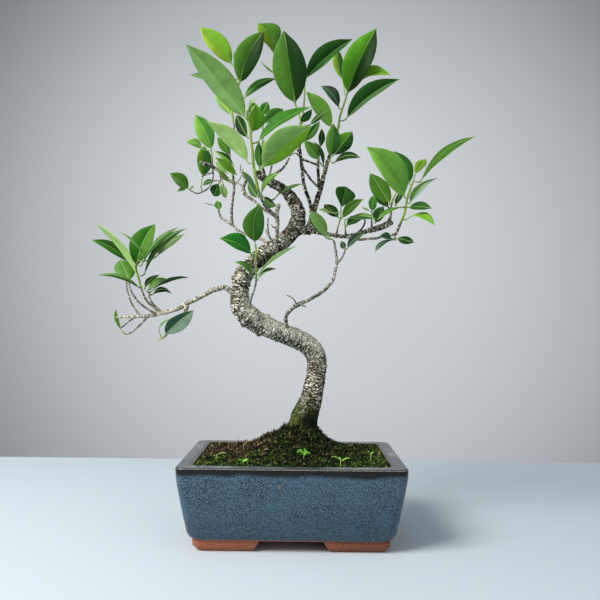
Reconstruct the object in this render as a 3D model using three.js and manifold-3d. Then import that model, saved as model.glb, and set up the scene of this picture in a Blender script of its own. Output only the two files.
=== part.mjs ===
// Bonsai tree in a pot: an S-shaped fig with a few long branches, planted in mossy soil in a
// blue glazed rectangular pot on four corner feet.
// Millimetres, +Z up, +X to the right, -Y to the front. The origin is on the table, under the
// middle of the whole plant's bounding box.
import * as THREE from "three";
import Module from "manifold-3d";

const wasm = await Module();
wasm.setup();

// ---------------------------------------------------------------- driving dimensions, mm
const POT_WIDTH = 208;
const POT_DEPTH = 144;
const POT_HEIGHT = 77.5;
const RIM_WIDTH = 14; // flat top of the wall
const RIM_CORNER = 8; // radius of the wall's upright corners at the rim
const POT_FLOOR = 9.5; // height of the floor's underside
const FLOOR_THICKNESS = 9;
const CAVITY_NARROWS = 4; // the cavity's side at its floor, in from its side at the rim
const CAVITY_CORNER = 6;
const DRAIN_DIAMETER = 18;
const DRAIN_SPACING = 100; // between the two drain holes' centres
const MESH_SIDE = 32; // square of drainage mesh over each hole
const MESH_THICKNESS = 1.2;
const MESH_WINDOW = 7; // side of each window in the mesh
const MESH_PITCH = 9;
const SOIL_TOP = 68;
const MOSS_EDGE = 76.5; // height of the moss where it meets the wall
const GAP = 0.3; // clearance between pieces that touch
const LEAF_THICKNESS = 0.8;
const LEAF_PROPORTION = 2.6; // a blade's length over its width
const PETIOLE_DIAMETER = 1.2;
const SHORT_PETIOLE = 2.5; // a shorter one is straight

// Height and inset of the pot's outer wall, from the rim down to the underside.
const WALL_PROFILE = [
  { height: POT_HEIGHT, inset: 1.2 },
  { height: 77.1, inset: 0.3 },
  { height: 76, inset: 0 },
  { height: 64, inset: 0.8 },
  { height: 50, inset: 2.9 },
  { height: 36, inset: 5.2 },
  { height: 24, inset: 7.4 },
  { height: 16, inset: 9 },
  { height: 12, inset: 11 },
  { height: 10.2, inset: 13.6 },
  { height: POT_FLOOR, inset: 16.5 },
];

// The corner feet: outer sides and the ends of the gaps between them, at the top and bottom.
const FOOT = {
  topInset: 17.5,
  bottomInset: 22,
  wall: 15,
  gapTop: { x: 57, y: 44 },
  gapBottom: { x: 70, y: 57 },
  sunk: 2,
};

// Where the trunk enters the ground, and how thick it is down there.
const TRUNK_FOOT = { x: 10, y: 5, bottom: 46, thick: 29 };

// The moss mound round the trunk's foot: how high it stands and how far it reaches each way.
const MOUND = { rise: 35, left: 42, right: 28, deep: 34, steepness: 1.5 };

// ---------------------------------------------------------------- the front view
// The plant's branches and leaves are placed by eye from one view: across and down are in the
// view's own units, 1 mm each on the trunk's plane (depth 0), and depth counts steps of 1.4 mm
// behind that plane. The eye stands in front of the pot and looks slightly up.
const VIEW = {
  eye: new THREE.Vector3(5.5, -650, 202.2),
  distance: 650,
  centre: 300,
  tilt: THREE.MathUtils.degToRad(2.43),
  roll: THREE.MathUtils.degToRad(0.63),
  depthStep: 1.4,
};
const VIEW_FORWARD = new THREE.Vector3(0, Math.cos(VIEW.tilt), Math.sin(VIEW.tilt));
const VIEW_RIGHT = new THREE.Vector3(1, 0, 0).applyAxisAngle(VIEW_FORWARD, -VIEW.roll);
const VIEW_UP = new THREE.Vector3().crossVectors(VIEW_RIGHT, VIEW_FORWARD);

/** The real point that the view shows at (across, down), at the given depth. */
function seen([across, down, depth]) {
  const ray = VIEW_FORWARD.clone()
    .multiplyScalar(VIEW.distance)
    .addScaledVector(VIEW_RIGHT, across - VIEW.centre)
    .addScaledVector(VIEW_UP, VIEW.centre - down);
  const reach = (depth * VIEW.depthStep - VIEW.eye.y) / ray.y;
  return VIEW.eye.clone().addScaledVector(ray, reach);
}

// ---------------------------------------------------------------- solids
/** A closed solid from its corner points and its triangles, turned to face outwards. */
function solid(points, triangles) {
  const vertProperties = new Float32Array(points.flatMap((p) => [p.x, p.y, p.z]));
  const made = (order) =>
    new wasm.Manifold(
      new wasm.Mesh({ numProp: 3, vertProperties, triVerts: new Uint32Array(order) }),
    );
  const first = made(triangles);
  return first.volume() > 0 ? first : made(triangles.slice().reverse());
}

const fuse = (solids) => solids.reduce((whole, next) => whole.add(next));
const cut = (whole, solids) => solids.reduce((rest, next) => rest.subtract(next), whole);

/** A solid skinned over closed rings of points, with a flat fan at each end. */
function loft(rings) {
  const sides = rings[0].length;
  const last = (rings.length - 1) * sides;
  const triangles = [];
  for (let k = 0; k < last; k += sides) {
    for (let i = 0; i < sides; i++) {
      const a = k + i;
      const b = k + ((i + 1) % sides);
      triangles.push(a, b, b + sides, a, b + sides, a + sides);
    }
  }
  for (let i = 1; i < sides - 1; i++) {
    triangles.push(0, i + 1, i, last, last + i, last + i + 1);
  }
  return solid(rings.flat(), triangles);
}

/** A level ring in the outline of a rectangle with round corners. */
function roundedRing(width, depth, corner, height, perCorner = 4) {
  const ring = [];
  for (let quarter = 0; quarter < 4; quarter++) {
    const sideX = quarter === 0 || quarter === 3 ? 1 : -1;
    const sideY = quarter < 2 ? 1 : -1;
    for (let k = 0; k < perCorner; k++) {
      const angle = ((quarter + k / (perCorner - 1)) * Math.PI) / 2;
      ring.push(
        new THREE.Vector3(
          sideX * (width / 2 - corner) + corner * Math.cos(angle),
          sideY * (depth / 2 - corner) + corner * Math.sin(angle),
          height,
        ),
      );
    }
  }
  return ring;
}

/** An upright prism between two heights over a flat outline of [x, y] points. */
function prism(outline, bottom, top) {
  const ring = (z) => outline.map(([x, y]) => new THREE.Vector3(x, y, z));
  return loft([ring(bottom), ring(top)]);
}

const rectangle = (x, y, width, depth) => [
  [x - width / 2, y - depth / 2],
  [x + width / 2, y - depth / 2],
  [x + width / 2, y + depth / 2],
  [x - width / 2, y + depth / 2],
];

/** A round pin: centre, diameter, and its two heights. */
function pin(x, y, diameter, bottom, top, sides = 20) {
  const outline = [];
  for (let k = 0; k < sides; k++) {
    const angle = (2 * Math.PI * k) / sides;
    outline.push([x + (diameter / 2) * Math.cos(angle), y + (diameter / 2) * Math.sin(angle)]);
  }
  return prism(outline, bottom, top);
}

/**
 * A tapering round stem along a route of { at, thick } stations. Each stretch between two
 * stations gets the given number of steps, and relief(angle, along) scales the radius.
 */
function stem(route, sides, steps, relief = () => 1) {
  const curve = new THREE.CatmullRomCurve3(
    route.map((station) => station.at),
    false,
    "centripetal",
  );
  const count = (route.length - 1) * steps;
  const across = new THREE.Vector3(1, 0, 0);
  const rings = [];
  for (let k = 0; k <= count; k++) {
    const centre = curve.getPoint(k / count);
    const tangent = curve.getTangent(k / count);
    if (k === 0 && Math.abs(tangent.x) > 0.9) across.set(0, 0, 1);
    across.addScaledVector(tangent, -across.dot(tangent)).normalize();
    const beside = new THREE.Vector3().crossVectors(tangent, across);
    const station = Math.min(Math.floor(k / steps), route.length - 2);
    const share = k / steps - station;
    const thick = THREE.MathUtils.lerp(route[station].thick, route[station + 1].thick, share);
    const ring = [];
    for (let i = 0; i < sides; i++) {
      const angle = (2 * Math.PI * i) / sides;
      const radius = (thick / 2) * relief(angle, k / steps);
      ring.push(
        centre
          .clone()
          .addScaledVector(across, radius * Math.cos(angle))
          .addScaledVector(beside, radius * Math.sin(angle)),
      );
    }
    rings.push(ring);
  }
  return loft(rings);
}

/** Stations of a stem from [across, down, depth, thickness] places in the front view. */
const stations = (places) => places.map((p) => ({ at: seen(p), thick: p[3] }));

// ---------------------------------------------------------------- leaves
// A blade is drawn with sections past its base, as shares of its length: a long one with more.
const SHORT_BLADE = { upTo: 36, sections: [0.3, 0.7, 1] };
const LONG_BLADE = { sections: [0.14, 0.4, 0.72, 1] };
const BLADE_FULLNESS = 0.85; // below 1 the blade's outline is rounder than a sine's
const TIP_SHARE = 0.06; // the drawn tip's width over the blade's

/**
 * A leaf as the front view shows it: its base, its tip, and how far its blade shows on each
 * side of the midrib, looking from the base to the tip. In the view's units, bow is how far the
 * midrib's middle lies to the right of the straight line. wide is the blade's real width, belly
 * is where along it the blade is widest, and arch is the midrib's rise over its length. Each
 * half is leaned until it shows as wide as it is seen: both of them up in a folded leaf, and
 * one up and one down in a flatter one that is turned. under shows the underside.
 */
const leaf = (at, tip, left, right, more = {}) => ({
  at,
  tip,
  left,
  right,
  bow: 0,
  belly: 0.48,
  arch: 0.04,
  ...more,
});

/** A leaf's real base and size, and the way that each of its halves spreads from the midrib. */
function leafFrame({ at, tip, left, right, wide, under, folded }) {
  const base = seen(at);
  const along = seen(tip).sub(base);
  const length = along.length();
  along.normalize();
  const toEye = VIEW.eye.clone().sub(base);
  const scale = toEye.length() / VIEW.distance;
  toEye.normalize();
  const level = new THREE.Vector3().crossVectors(along, toEye).normalize();
  const facing = new THREE.Vector3().crossVectors(level, along);
  const half = (wide ?? Math.max(2 * left, 2 * right, length / LEAF_PROPORTION)) / 2;
  const lean = (shows) => Math.acos(Math.min(1, (shows * scale) / half));
  const leftNear = left === right ? level.z > 0 : left < right;
  const leftLean = lean(left) * (folded || leftNear ? 1 : -1);
  const rightLean = lean(right) * (folded || !leftNear ? 1 : -1);
  const above = facing.clone().multiplyScalar(under ? -1 : 1);
  const spread = (side, angle) =>
    level.clone().multiplyScalar(side * Math.cos(angle)).addScaledVector(above, Math.sin(angle));
  const toLeft = spread(-1, leftLean);
  const toRight = spread(1, rightLean);
  const across = toRight.clone().sub(toLeft).normalize();
  const upper = new THREE.Vector3().crossVectors(across, along);
  return { base, along, length, half, scale, level, above, toLeft, toRight, upper };
}

/** A blade's half width at a share of its length, over its widest. */
function bladeShare(share, belly) {
  const stretched = share ** (Math.log(0.5) / Math.log(belly));
  return Math.max(TIP_SHARE, Math.sin(Math.PI * stretched) ** BLADE_FULLNESS);
}

/**
 * A leaf with its petiole as one thin skin: a square petiole from the nearest of the stem's
 * points, which opens into a blade that bends at its midrib and arches to its tip.
 */
function leafOn(stemPoints, shape) {
  const { base, along, length, half, scale, level, above, toLeft, toRight, upper } =
    leafFrame(shape);
  const points = [];

  /** Adds a section of three places across, each a pair above and below the midline. */
  const section = (centre, heading, spread, thick) => {
    const turn = new THREE.Quaternion().setFromUnitVectors(along, heading);
    const offset = upper.clone().applyQuaternion(turn).multiplyScalar(thick / 2);
    [toLeft, null, toRight].forEach((side) => {
      const middle = centre.clone();
      if (side) middle.addScaledVector(side.clone().applyQuaternion(turn), spread);
      points.push(middle.clone().add(offset));
      points.push(middle.sub(offset));
    });
  };

  const root = stemPoints.reduce((best, p) =>
    p.distanceTo(base) < best.distanceTo(base) ? p : best,
  );
  const petiole = base.clone().sub(root);
  if (petiole.length() > SHORT_PETIOLE) {
    const heading = petiole.normalize();
    const halfway = heading.clone().add(along).normalize();
    section(root, heading, PETIOLE_DIAMETER / 2, PETIOLE_DIAMETER);
    section(base, halfway, PETIOLE_DIAMETER / 2, PETIOLE_DIAMETER);
  } else {
    section(root, along, PETIOLE_DIAMETER / 2, PETIOLE_DIAMETER);
  }
  const blade = length < SHORT_BLADE.upTo ? SHORT_BLADE : LONG_BLADE;
  blade.sections.forEach((share) => {
    const hump = 4 * share * (1 - share);
    const centre = base
      .clone()
      .addScaledVector(along, share * length)
      .addScaledVector(level, hump * shape.bow * scale)
      .addScaledVector(above, hump * shape.arch * length);
    const spread = Math.max(half * bladeShare(share, shape.belly), LEAF_THICKNESS / 2);
    section(centre, along, spread, LEAF_THICKNESS);
  });
  return skin(points);
}

/** A thin solid over sections of three pairs of points, split alike on both faces. */
function skin(points) {
  const triangles = [];
  const quad = (a, b, c, d) => triangles.push(a, b, c, a, c, d);
  const last = points.length - 6;
  for (let near = 0; near < last; near += 6) {
    for (let column = near; column < near + 4; column += 2) {
      quad(column, column + 2, column + 8, column + 6);
      triangles.push(column + 1, column + 9, column + 3, column + 1, column + 7, column + 9);
    }
    quad(near + 1, near, near + 6, near + 7);
    quad(near + 4, near + 5, near + 11, near + 10);
  }
  for (let column = 0; column < 4; column += 2) {
    quad(column + 1, column + 3, column + 2, column);
    quad(last + column, last + column + 2, last + column + 3, last + column + 1);
  }
  return solid(points, triangles);
}

// ---------------------------------------------------------------- the pot
/** The fired pot: a wall flaring to a broad flat rim, a floor with two drains, four feet. */
function potSolid() {
  const outer = loft(
    WALL_PROFILE.map(({ height, inset }) =>
      roundedRing(
        POT_WIDTH - 2 * inset,
        POT_DEPTH - 2 * inset,
        RIM_CORNER + 0.5 * inset,
        height,
      ),
    ).reverse(),
  );
  const drains = [-1, 1].map((side) =>
    pin((side * DRAIN_SPACING) / 2, 0, DRAIN_DIAMETER, 0, POT_FLOOR + 2 * FLOOR_THICKNESS),
  );
  return cut(outer.add(feetSolid()), [cavitySolid(0, POT_HEIGHT + 1), ...drains]);
}

/** The inside of the pot, drawn in by a clearance, from its floor up to a height. */
function cavitySolid(clearance, top) {
  const width = POT_WIDTH - 2 * RIM_WIDTH - 2 * clearance;
  const depth = POT_DEPTH - 2 * RIM_WIDTH - 2 * clearance;
  const bottom = POT_FLOOR + FLOOR_THICKNESS + clearance;
  const narrowing = (z) => (2 * CAVITY_NARROWS * (POT_HEIGHT - z)) / (POT_HEIGHT - bottom);
  const ring = (z) =>
    roundedRing(width - narrowing(z), depth - narrowing(z), CAVITY_CORNER, z);
  return loft([ring(bottom), ring(top)]);
}

/** Four L-shaped corner feet, cut from one tapering ring by a gap in each of its sides. */
function feetSolid() {
  const ring = (inset, z) =>
    roundedRing(POT_WIDTH - 2 * inset, POT_DEPTH - 2 * inset, RIM_CORNER, z);
  const top = POT_FLOOR + FOOT.sunk;
  const whole = loft([ring(FOOT.bottomInset, 0), ring(FOOT.topInset, top)]);
  const inside = FOOT.topInset + FOOT.wall;
  const middle = loft([ring(inside, -1), ring(inside, POT_FLOOR)]);
  const gap = (low, high, turned) => {
    const far = POT_WIDTH;
    const level = (half, z) =>
      [
        [-half, -far],
        [half, -far],
        [half, far],
        [-half, far],
      ].map(([x, y]) => (turned ? new THREE.Vector3(-y, x, z) : new THREE.Vector3(x, y, z)));
    return loft([level(low / 2, 0), level(high / 2, POT_FLOOR)]);
  };
  return cut(whole, [
    middle,
    gap(FOOT.gapBottom.x, FOOT.gapTop.x, false),
    gap(FOOT.gapBottom.y, FOOT.gapTop.y, true),
    loft([ring(-1, -1), ring(-1, 0)]),
  ]);
}

/** A square of plastic mesh that keeps the soil in over a drain hole. */
function drainMeshSolid(x) {
  const bottom = POT_FLOOR + FLOOR_THICKNESS + GAP;
  const windows = [];
  for (let row = -1; row <= 1; row++) {
    for (let column = -1; column <= 1; column++) {
      const hole = rectangle(x + row * MESH_PITCH, column * MESH_PITCH, MESH_WINDOW, MESH_WINDOW);
      windows.push(prism(hole, bottom - 1, bottom + MESH_THICKNESS + 1));
    }
  }
  const plate = prism(rectangle(x, 0, MESH_SIDE, MESH_SIDE), bottom, bottom + MESH_THICKNESS);
  return cut(plate, windows);
}

// ---------------------------------------------------------------- the ground
/** The height of the moss at a place: nearly level, with a lumpy mound round the trunk. */
function mossHeight(x, y) {
  const fromX = x - TRUNK_FOOT.x;
  const reach = Math.hypot(
    fromX / (fromX < 0 ? MOUND.left : MOUND.right),
    (y - TRUNK_FOOT.y) / MOUND.deep,
  );
  const lumps =
    1.1 * Math.sin(x / 6.1 + 1) * Math.cos(y / 5.3) +
    0.8 * Math.sin(x / 3.7 - y / 4.9) +
    0.6 * Math.cos(x / 9 + y / 2.9 + 2);
  return MOSS_EDGE + MOUND.rise * Math.exp(-(reach ** MOUND.steepness)) + lumps;
}

/** The moss: a skin with a lumpy top that fills the pot's mouth, on the level soil. */
function mossSolid(holes) {
  const bottom = SOIL_TOP + GAP;
  const inset = RIM_WIDTH + GAP + 0.5;
  const outline = roundedRing(
    POT_WIDTH - 2 * inset,
    POT_DEPTH - 2 * inset,
    CAVITY_CORNER,
    0,
    7,
  );
  const shares = [1, 0.88, 0.72, 0.55, 0.4, 0.26, 0.12, 0];
  const round = TRUNK_FOOT.thick / 3; // the innermost ring is a circle in the trunk's hole
  const ring = (share, height) =>
    outline.map((p) => {
      const way = Math.atan2(p.y - TRUNK_FOOT.y, p.x - TRUNK_FOOT.x);
      const x = THREE.MathUtils.lerp(TRUNK_FOOT.x + round * Math.cos(way), p.x, share);
      const y = THREE.MathUtils.lerp(TRUNK_FOOT.y + round * Math.sin(way), p.y, share);
      return new THREE.Vector3(x, y, height ?? mossHeight(x, y));
    });
  const tops = shares.map((share) => ring(share));
  return cut(loft([ring(1, bottom), ...tops]), holes);
}

/** The soil under the moss, which fills the rest of the pot over the drainage mesh. */
function soilSolid(holes) {
  const clearOfMesh = [-1, 1].map((side) => {
    const square = MESH_SIDE + 2 * GAP;
    const floor = POT_FLOOR + FLOOR_THICKNESS;
    return prism(
      rectangle((side * DRAIN_SPACING) / 2, 0, square, square),
      floor - 1,
      floor + MESH_THICKNESS + 2 * GAP,
    );
  });
  return cut(cavitySolid(GAP, SOIL_TOP), [...clearOfMesh, ...holes]);
}

// ---------------------------------------------------------------- the trunk and its twigs
// [across, down, depth, thickness] along the trunk above the ground.
const TRUNK = [
  [304, 420, 5, 28],
  [307, 410, 6, 25],
  [311, 400, 7, 22.5],
  [313.5, 388, 8, 20.5],
  [316, 375, 11, 20],
  [317, 362, 12, 20],
  [314, 351.5, 11, 20.5],
  [306, 343.5, 9, 20.5],
  [296, 338.3, 6, 20],
  [284, 333.7, 2, 19.5],
  [271, 328.5, -2, 20.5],
  [259, 323, -5, 21],
  [248.5, 316, -8, 21.5],
  [241.5, 308, -10, 21],
  [240, 299, -11, 19],
  [240.6, 289, -12, 17.3],
  [241.8, 280, -12, 18.6],
  [246, 271.5, -11, 18.6],
  [252, 264.5, -9, 17.8],
  [259, 258, -5, 17.2],
  [267, 252, -1, 16.8],
  [276, 246.5, 3, 16.4],
  [284, 240.5, 7, 16],
  [290.5, 234, 10, 15.6],
  [295.5, 226.5, 13, 15.6],
  [298.5, 218, 15, 15.2],
  [298, 210.5, 16, 14.6],
  [295, 204, 17, 13.6],
  [291, 197.5, 17, 12.4],
  [285.5, 191, 16, 10.8],
  [278.5, 186.3, 14, 10],
  [270, 181.8, 11, 9.4],
  [262, 177, 9, 8.4],
  [256, 171.5, 8, 7],
];

// The branches and woody twigs, and the stubs of cut ones, each from inside what bears it.
const TWIGS = {
  left_branch: [
    [240, 296, -11, 6],
    [231, 291, -13, 5.6],
    [225, 287.5, -14, 5.2],
    [218, 288.5, -14, 5],
    [209, 292, -14, 4.8],
    [199, 297.5, -13, 4.8],
    [189, 302.5, -12, 5],
    [179, 307.8, -9, 4.8],
    [169, 311.4, -6, 4.4],
    [158, 314, -2, 4],
    [147, 316, 1, 3.6],
    [135, 316.5, 4, 3],
    [116, 317.5, 8, 2.2],
  ],
  left_knot: [
    [187, 303, -12, 4.6],
    [186.5, 308, -13, 4.4],
    [185.5, 311.5, -14, 3.2],
  ],
  left_twig_1: [
    [140, 316.3, 3, 2.2],
    [133, 306, 6, 2],
    [129, 297, 9, 1.9],
    [127.2, 290, 13, 1.8],
    [126.6, 284, 16, 1.8],
  ],
  left_twig_2: [
    [157, 314, -2, 2.4],
    [149, 310, -4, 2.2],
    [142, 305, -4, 2],
    [136, 299, -3, 2],
    [131.5, 292, -2, 1.9],
    [129.5, 285.5, -1, 1.8],
  ],
  left_twig_3: [
    [161, 313.5, -3, 2.4],
    [153, 307, -2, 2.3],
    [147, 301, 0, 2.2],
    [143, 294, 1, 2.2],
    [141, 287, 2, 2.2],
  ],
  left_twig_4: [
    [163, 313, -4, 2.4],
    [156, 307, 2, 2.2],
    [151.5, 302, 6, 2],
    [149.5, 297.5, 8, 1.9],
  ],
  left_twig_5: [
    [136, 316.4, 4, 2],
    [128, 322, 2, 1.7],
    [121, 328, 0, 1.4],
  ],
  left_twig_6: [
    [148, 316, 1, 2.2],
    [141, 324, 6, 2],
    [135, 329.5, 9, 1.8],
    [130, 333, 11, 1.8],
    [126.5, 334, 12, 1.8],
  ],
  left_hanging_twig: [
    [186, 309, -13, 2.8],
    [181, 318, -15, 2.2],
    [174.5, 327, -17, 2],
    [168.5, 333, -18, 2],
  ],
  back_branch: [
    [276, 246, 3, 5],
    [268, 242.5, 9, 3.6],
    [258, 238, 17, 3.4],
    [246, 234.5, 24, 3.2],
    [238.5, 231, 28, 3.2],
    [232.5, 225.5, 32, 3],
    [226, 221, 34, 2.8],
    [221, 217.5, 35, 2.6],
    [219, 212, 36, 2.2],
  ],
  back_upright: [
    [232, 225, 32, 3.2],
    [231.5, 212, 33, 3],
    [232.5, 200, 34, 3],
    [234, 189, 34, 2.8],
    [233.5, 179, 33, 2.6],
    [231, 167, 31, 2.4],
    [229.5, 156, 29, 2.3],
    [229.5, 147, 28, 2.2],
    [231.5, 137, 26, 2.1],
    [234, 128, 24, 2],
  ],
  back_side_twig: [
    [234, 184, 33, 2.6],
    [226.5, 177, 38, 2.6],
    [219, 171, 37, 2.8],
    [212.5, 167.5, 35, 3],
    [205.5, 163.5, 32, 3.2],
    [199.5, 161.5, 30, 2.4],
  ],
  back_crown_nub: [
    [231.5, 170, 31, 2.4],
    [229, 166, 26.5, 1.8],
  ],
  back_left_nub: [
    [212.5, 167.5, 35, 2.4],
    [212.3, 163, 33.5, 2],
  ],
  back_drop_nub: [
    [220, 172, 37, 2.4],
    [220.8, 178.5, 38, 1.8],
  ],
  far_left_twig: [
    [212.7, 167.5, 35, 2.2],
    [213, 177, 34, 1.8],
    [211, 184, 32, 1.7],
    [207, 189, 30, 1.7],
    [202, 192, 28, 1.6],
    [196.5, 193.4, 26, 1.6],
    [191.5, 191, 25, 1.6],
  ],
  far_left_side: [
    [213, 172, 34.5, 1.6],
    [207, 174.5, 31, 1.4],
    [201.5, 176.5, 28, 1.2],
  ],
  far_left_nub: [
    [202.5, 192, 28, 1.6],
    [201.3, 188, 30, 1.5],
  ],
  knob_twig: [
    [275, 251, -2, 5],
    [276, 242, -8, 4.2],
    [277, 232, -10, 3.8],
    [277.5, 222, -11, 3.8],
    [277.2, 213, -12, 3.8],
    [278, 206.5, -12, 4.6],
    [279.5, 204, -12, 4],
  ],
  knob_curl: [
    [277, 227.5, -10, 1.8],
    [273, 227, -14, 1.4],
    [271, 224, -15, 1.2],
  ],
  front_twig: [
    [276.8, 217, -11, 3.6],
    [271, 212, -16, 3.4],
    [266, 207, -20, 3.2],
    [262, 200.5, -25, 3],
    [259.7, 194.5, -28, 3],
  ],
  inner_stub: [
    [277, 216.5, -11, 3.2],
    [269, 212.5, -9, 3],
    [260, 207, -7, 3],
    [253, 200.5, -5, 3.2],
    [247, 196, -4, 3.6],
    [243.5, 191.5, -3, 4.4],
    [244, 186, -2, 3.4],
    [246.5, 180, 0, 3.6],
  ],
  low_twig: [
    [275, 245.5, -4, 2.8],
    [271.5, 240, -11, 2.4],
    [268.5, 235.5, -13, 2.2],
    [266, 230, -15, 1.6],
  ],
  pale_twig: [
    [269.3, 237, -12.5, 2],
    [267.6, 226, -18, 1.8],
    [268, 217.5, -21, 1.6],
  ],
  lower_twig: [
    [248, 310, -11, 2.8],
    [250.5, 301, -19, 2.2],
    [253, 293, -23, 2],
    [255, 286.5, -26, 2],
    [256, 281, -27, 2],
  ],
  trunk_bud: [
    [322, 367, 6, 3],
    [327.5, 366, 2, 1.6],
  ],
  trunk_stub: [
    [258, 318, -12, 6],
    [253, 309.5, -15, 4.6],
  ],
  right_branch: [
    [299, 229, 13, 10],
    [307, 230.5, 15, 8.4],
    [314, 231, 17, 6],
    [322, 233, 19, 4.8],
    [331, 235, 20, 4.2],
    [341, 236.2, 20, 4],
    [351, 235.6, 19, 4.2],
    [361, 233, 17, 4.8],
    [370, 230.4, 14, 5.2],
    [379, 227.8, 11, 6.2],
    [386, 225, 8, 6.6],
    [392.5, 222, 5, 5],
  ],
  right_low_branch: [
    [345, 236.4, 20, 3],
    [353, 239, 17, 2.8],
    [361, 239.4, 15, 2.7],
    [369, 238.8, 11, 2.6],
    [377, 238.2, 7, 2.6],
    [385, 235.5, 2, 2.7],
    [391, 234.5, -2, 2.8],
    [395, 234.5, -4, 3],
    [397.5, 230, -6, 2.9],
    [400.2, 224, -8, 2.8],
  ],
  right_low_nub: [
    [394.5, 234.5, -4, 2.4],
    [395, 238, -6, 1.8],
  ],
  right_gnarl_up: [
    [388, 224.5, 8, 4],
    [390.5, 216, 9, 2.8],
    [391, 208.5, 10, 2.2],
  ],
  right_mid_nub: [
    [372, 230, 13, 3],
    [371.6, 223.5, 11, 1.8],
  ],
  right_curved_twig: [
    [357, 234, 18, 2.4],
    [362.5, 227.5, 22, 2],
    [365, 221, 24, 1.8],
    [361.5, 216.5, 25, 1.4],
  ],
  trio_nub: [
    [336, 236, 20, 3],
    [337.2, 230.5, 17, 1.9],
  ],
  trio_low_nub: [
    [346, 236, 20, 3],
    [345.5, 231.5, 15, 1.8],
  ],
  rising_branch: [
    [287, 331, 0, 5],
    [286, 323, -4, 4.2],
    [285.6, 318, -6, 3.8],
    [287.5, 313.5, -8, 3.8],
    [292, 308.5, -9, 4],
    [298, 304.7, -10, 4.2],
    [306, 301.2, -11, 3.6],
    [314, 297, -11, 3.4],
    [322, 291.8, -10, 3.3],
    [328.5, 286, -9, 3.2],
    [333, 280, -8, 3.1],
    [335.3, 271, -6, 3],
    [336.8, 262, -5, 3],
    [336, 254, -4, 2.6],
    [334.6, 243.5, -1, 2.3],
  ],
  rising_thorn_1: [
    [297, 305, -10, 1.6],
    [293, 298.5, -13, 1.2],
    [286.5, 295, -15, 0.8],
  ],
  rising_thorn_2: [
    [299, 304.5, -10, 1.8],
    [306, 306.5, -13, 1.2],
  ],
  rising_side: [
    [336.8, 263, -5, 2.4],
    [341.5, 258.5, -8, 2],
    [344, 253.5, -9, 1.8],
  ],
  upright_foot: [
    [306, 233, 15, 8],
    [309.5, 226, 15, 7],
    [312, 219, 14.5, 6.4],
    [313.5, 211, 14, 6.2],
  ],
  upright_1: [
    [313, 213, 14, 4.2],
    [309, 200, 10, 3.8],
    [305.2, 189, 7, 3.6],
    [303, 179, 5, 3.5],
    [302, 168, 4, 3.5],
    [300.8, 158, 3, 3.3],
    [299.8, 149, 2, 3],
  ],
  upright_1_fork: [
    [300.2, 153, 2.5, 2.4],
    [297, 149.5, -1, 1.6],
  ],
  upright_2: [
    [313, 213, 14, 6.2],
    [317, 200, 17, 5.8],
    [320.5, 189, 19, 5.2],
    [323, 179, 20, 4.8],
    [325.3, 170, 21, 4.2],
    [328, 160, 23, 3.6],
    [330.5, 153, 25, 3.2],
    [333, 146.5, 26, 2.9],
  ],
  upright_2_nub: [
    [325, 172, 21, 3],
    [327.6, 164.5, 16.5, 2],
  ],
  upright_3: [
    [320.5, 191, 19, 4],
    [319, 184, 17, 3.4],
    [318.2, 174, 13, 3.2],
    [318, 163.5, 9, 3],
  ],
  upright_link: [
    [301.5, 159, 3, 2.6],
    [307, 161, 5, 2.2],
    [312.5, 163, 8, 2.2],
    [318, 165, 10, 2.4],
  ],
  upright_diagonal: [
    [302.2, 167, 4, 2.6],
    [307, 174, 9, 2.4],
    [312, 181, 14, 2.4],
    [318, 187, 18, 2.6],
  ],
  crown_fork: [
    [270, 181.5, 11, 4],
    [276, 173, 8, 3],
    [281.5, 169.5, 5, 2.6],
    [286, 163.5, 2, 2.4],
    [289.5, 157.5, 0, 1.6],
  ],
  crown_twig: [
    [263, 177.5, 9, 4.4],
    [264, 172.5, 2, 3],
    [262.8, 168.5, -4, 2.4],
  ],
  crown_side_twig: [
    [268, 180.5, 10, 2.8],
    [270, 172.5, 5, 2],
    [272, 165.5, 2, 1.4],
  ],
};

const TRUNK_SIDES = 12;
const BRANCH_SIDES = 6;
const TWIG_SIDES = 5;
const FINE_TWIG_SIDES = 4;
const BARE_STEM = 3; // no petiole leaves a shoot this near to its twig
const BRANCH_THICKNESS = 4.5; // a twig that starts thicker than this is a branch
const FINE_THICKNESS = 4.1; // and one thinner than this is a fine one

/** The trunk's route, from its foot in the soil up to the end of its top bend. */
function trunkRoute(extra = 0) {
  const { x, y, bottom, thick } = TRUNK_FOOT;
  const foot = [
    { at: new THREE.Vector3(x, y, bottom - extra), thick: thick + 2 * extra },
    { at: new THREE.Vector3(x, y, 84), thick: thick + 2 * extra },
  ];
  const above = stations(TRUNK).map(({ at, thick: seenThick }) => ({
    at,
    thick: seenThick + 2 * extra,
  }));
  return [...foot, ...above];
}

/** The hole that the trunk's foot stands in, from under the foot to above the mound. */
const trunkHole = () => stem(trunkRoute(GAP).slice(0, 6), TRUNK_SIDES, 1);

/** How the bark swells and sinks: knots and wrinkles, none where the trunk is in the ground. */
function barkRelief(angle, along) {
  const above = THREE.MathUtils.smoothstep(along, 4, 7);
  const knots = Math.sin(2 * angle + 1.9 * along) * Math.sin(1.3 * along + 0.6);
  const wrinkles = Math.sin(3 * angle - 2.3 * along + 1) * Math.cos(2.9 * along);
  return 1 + above * (0.035 * knots + 0.03 * wrinkles);
}

/** Trunk, branches and woody twigs, grown as one piece. */
function trunkSolid() {
  const twigs = Object.values(TWIGS).map((places) => {
    const thick = places[0][3];
    const slender = thick < FINE_THICKNESS ? FINE_TWIG_SIDES : TWIG_SIDES;
    return stem(stations(places), thick > BRANCH_THICKNESS ? BRANCH_SIDES : slender, 1);
  });
  return fuse([stem(trunkRoute(), TRUNK_SIDES, 1, barkRelief), ...twigs]);
}

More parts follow.
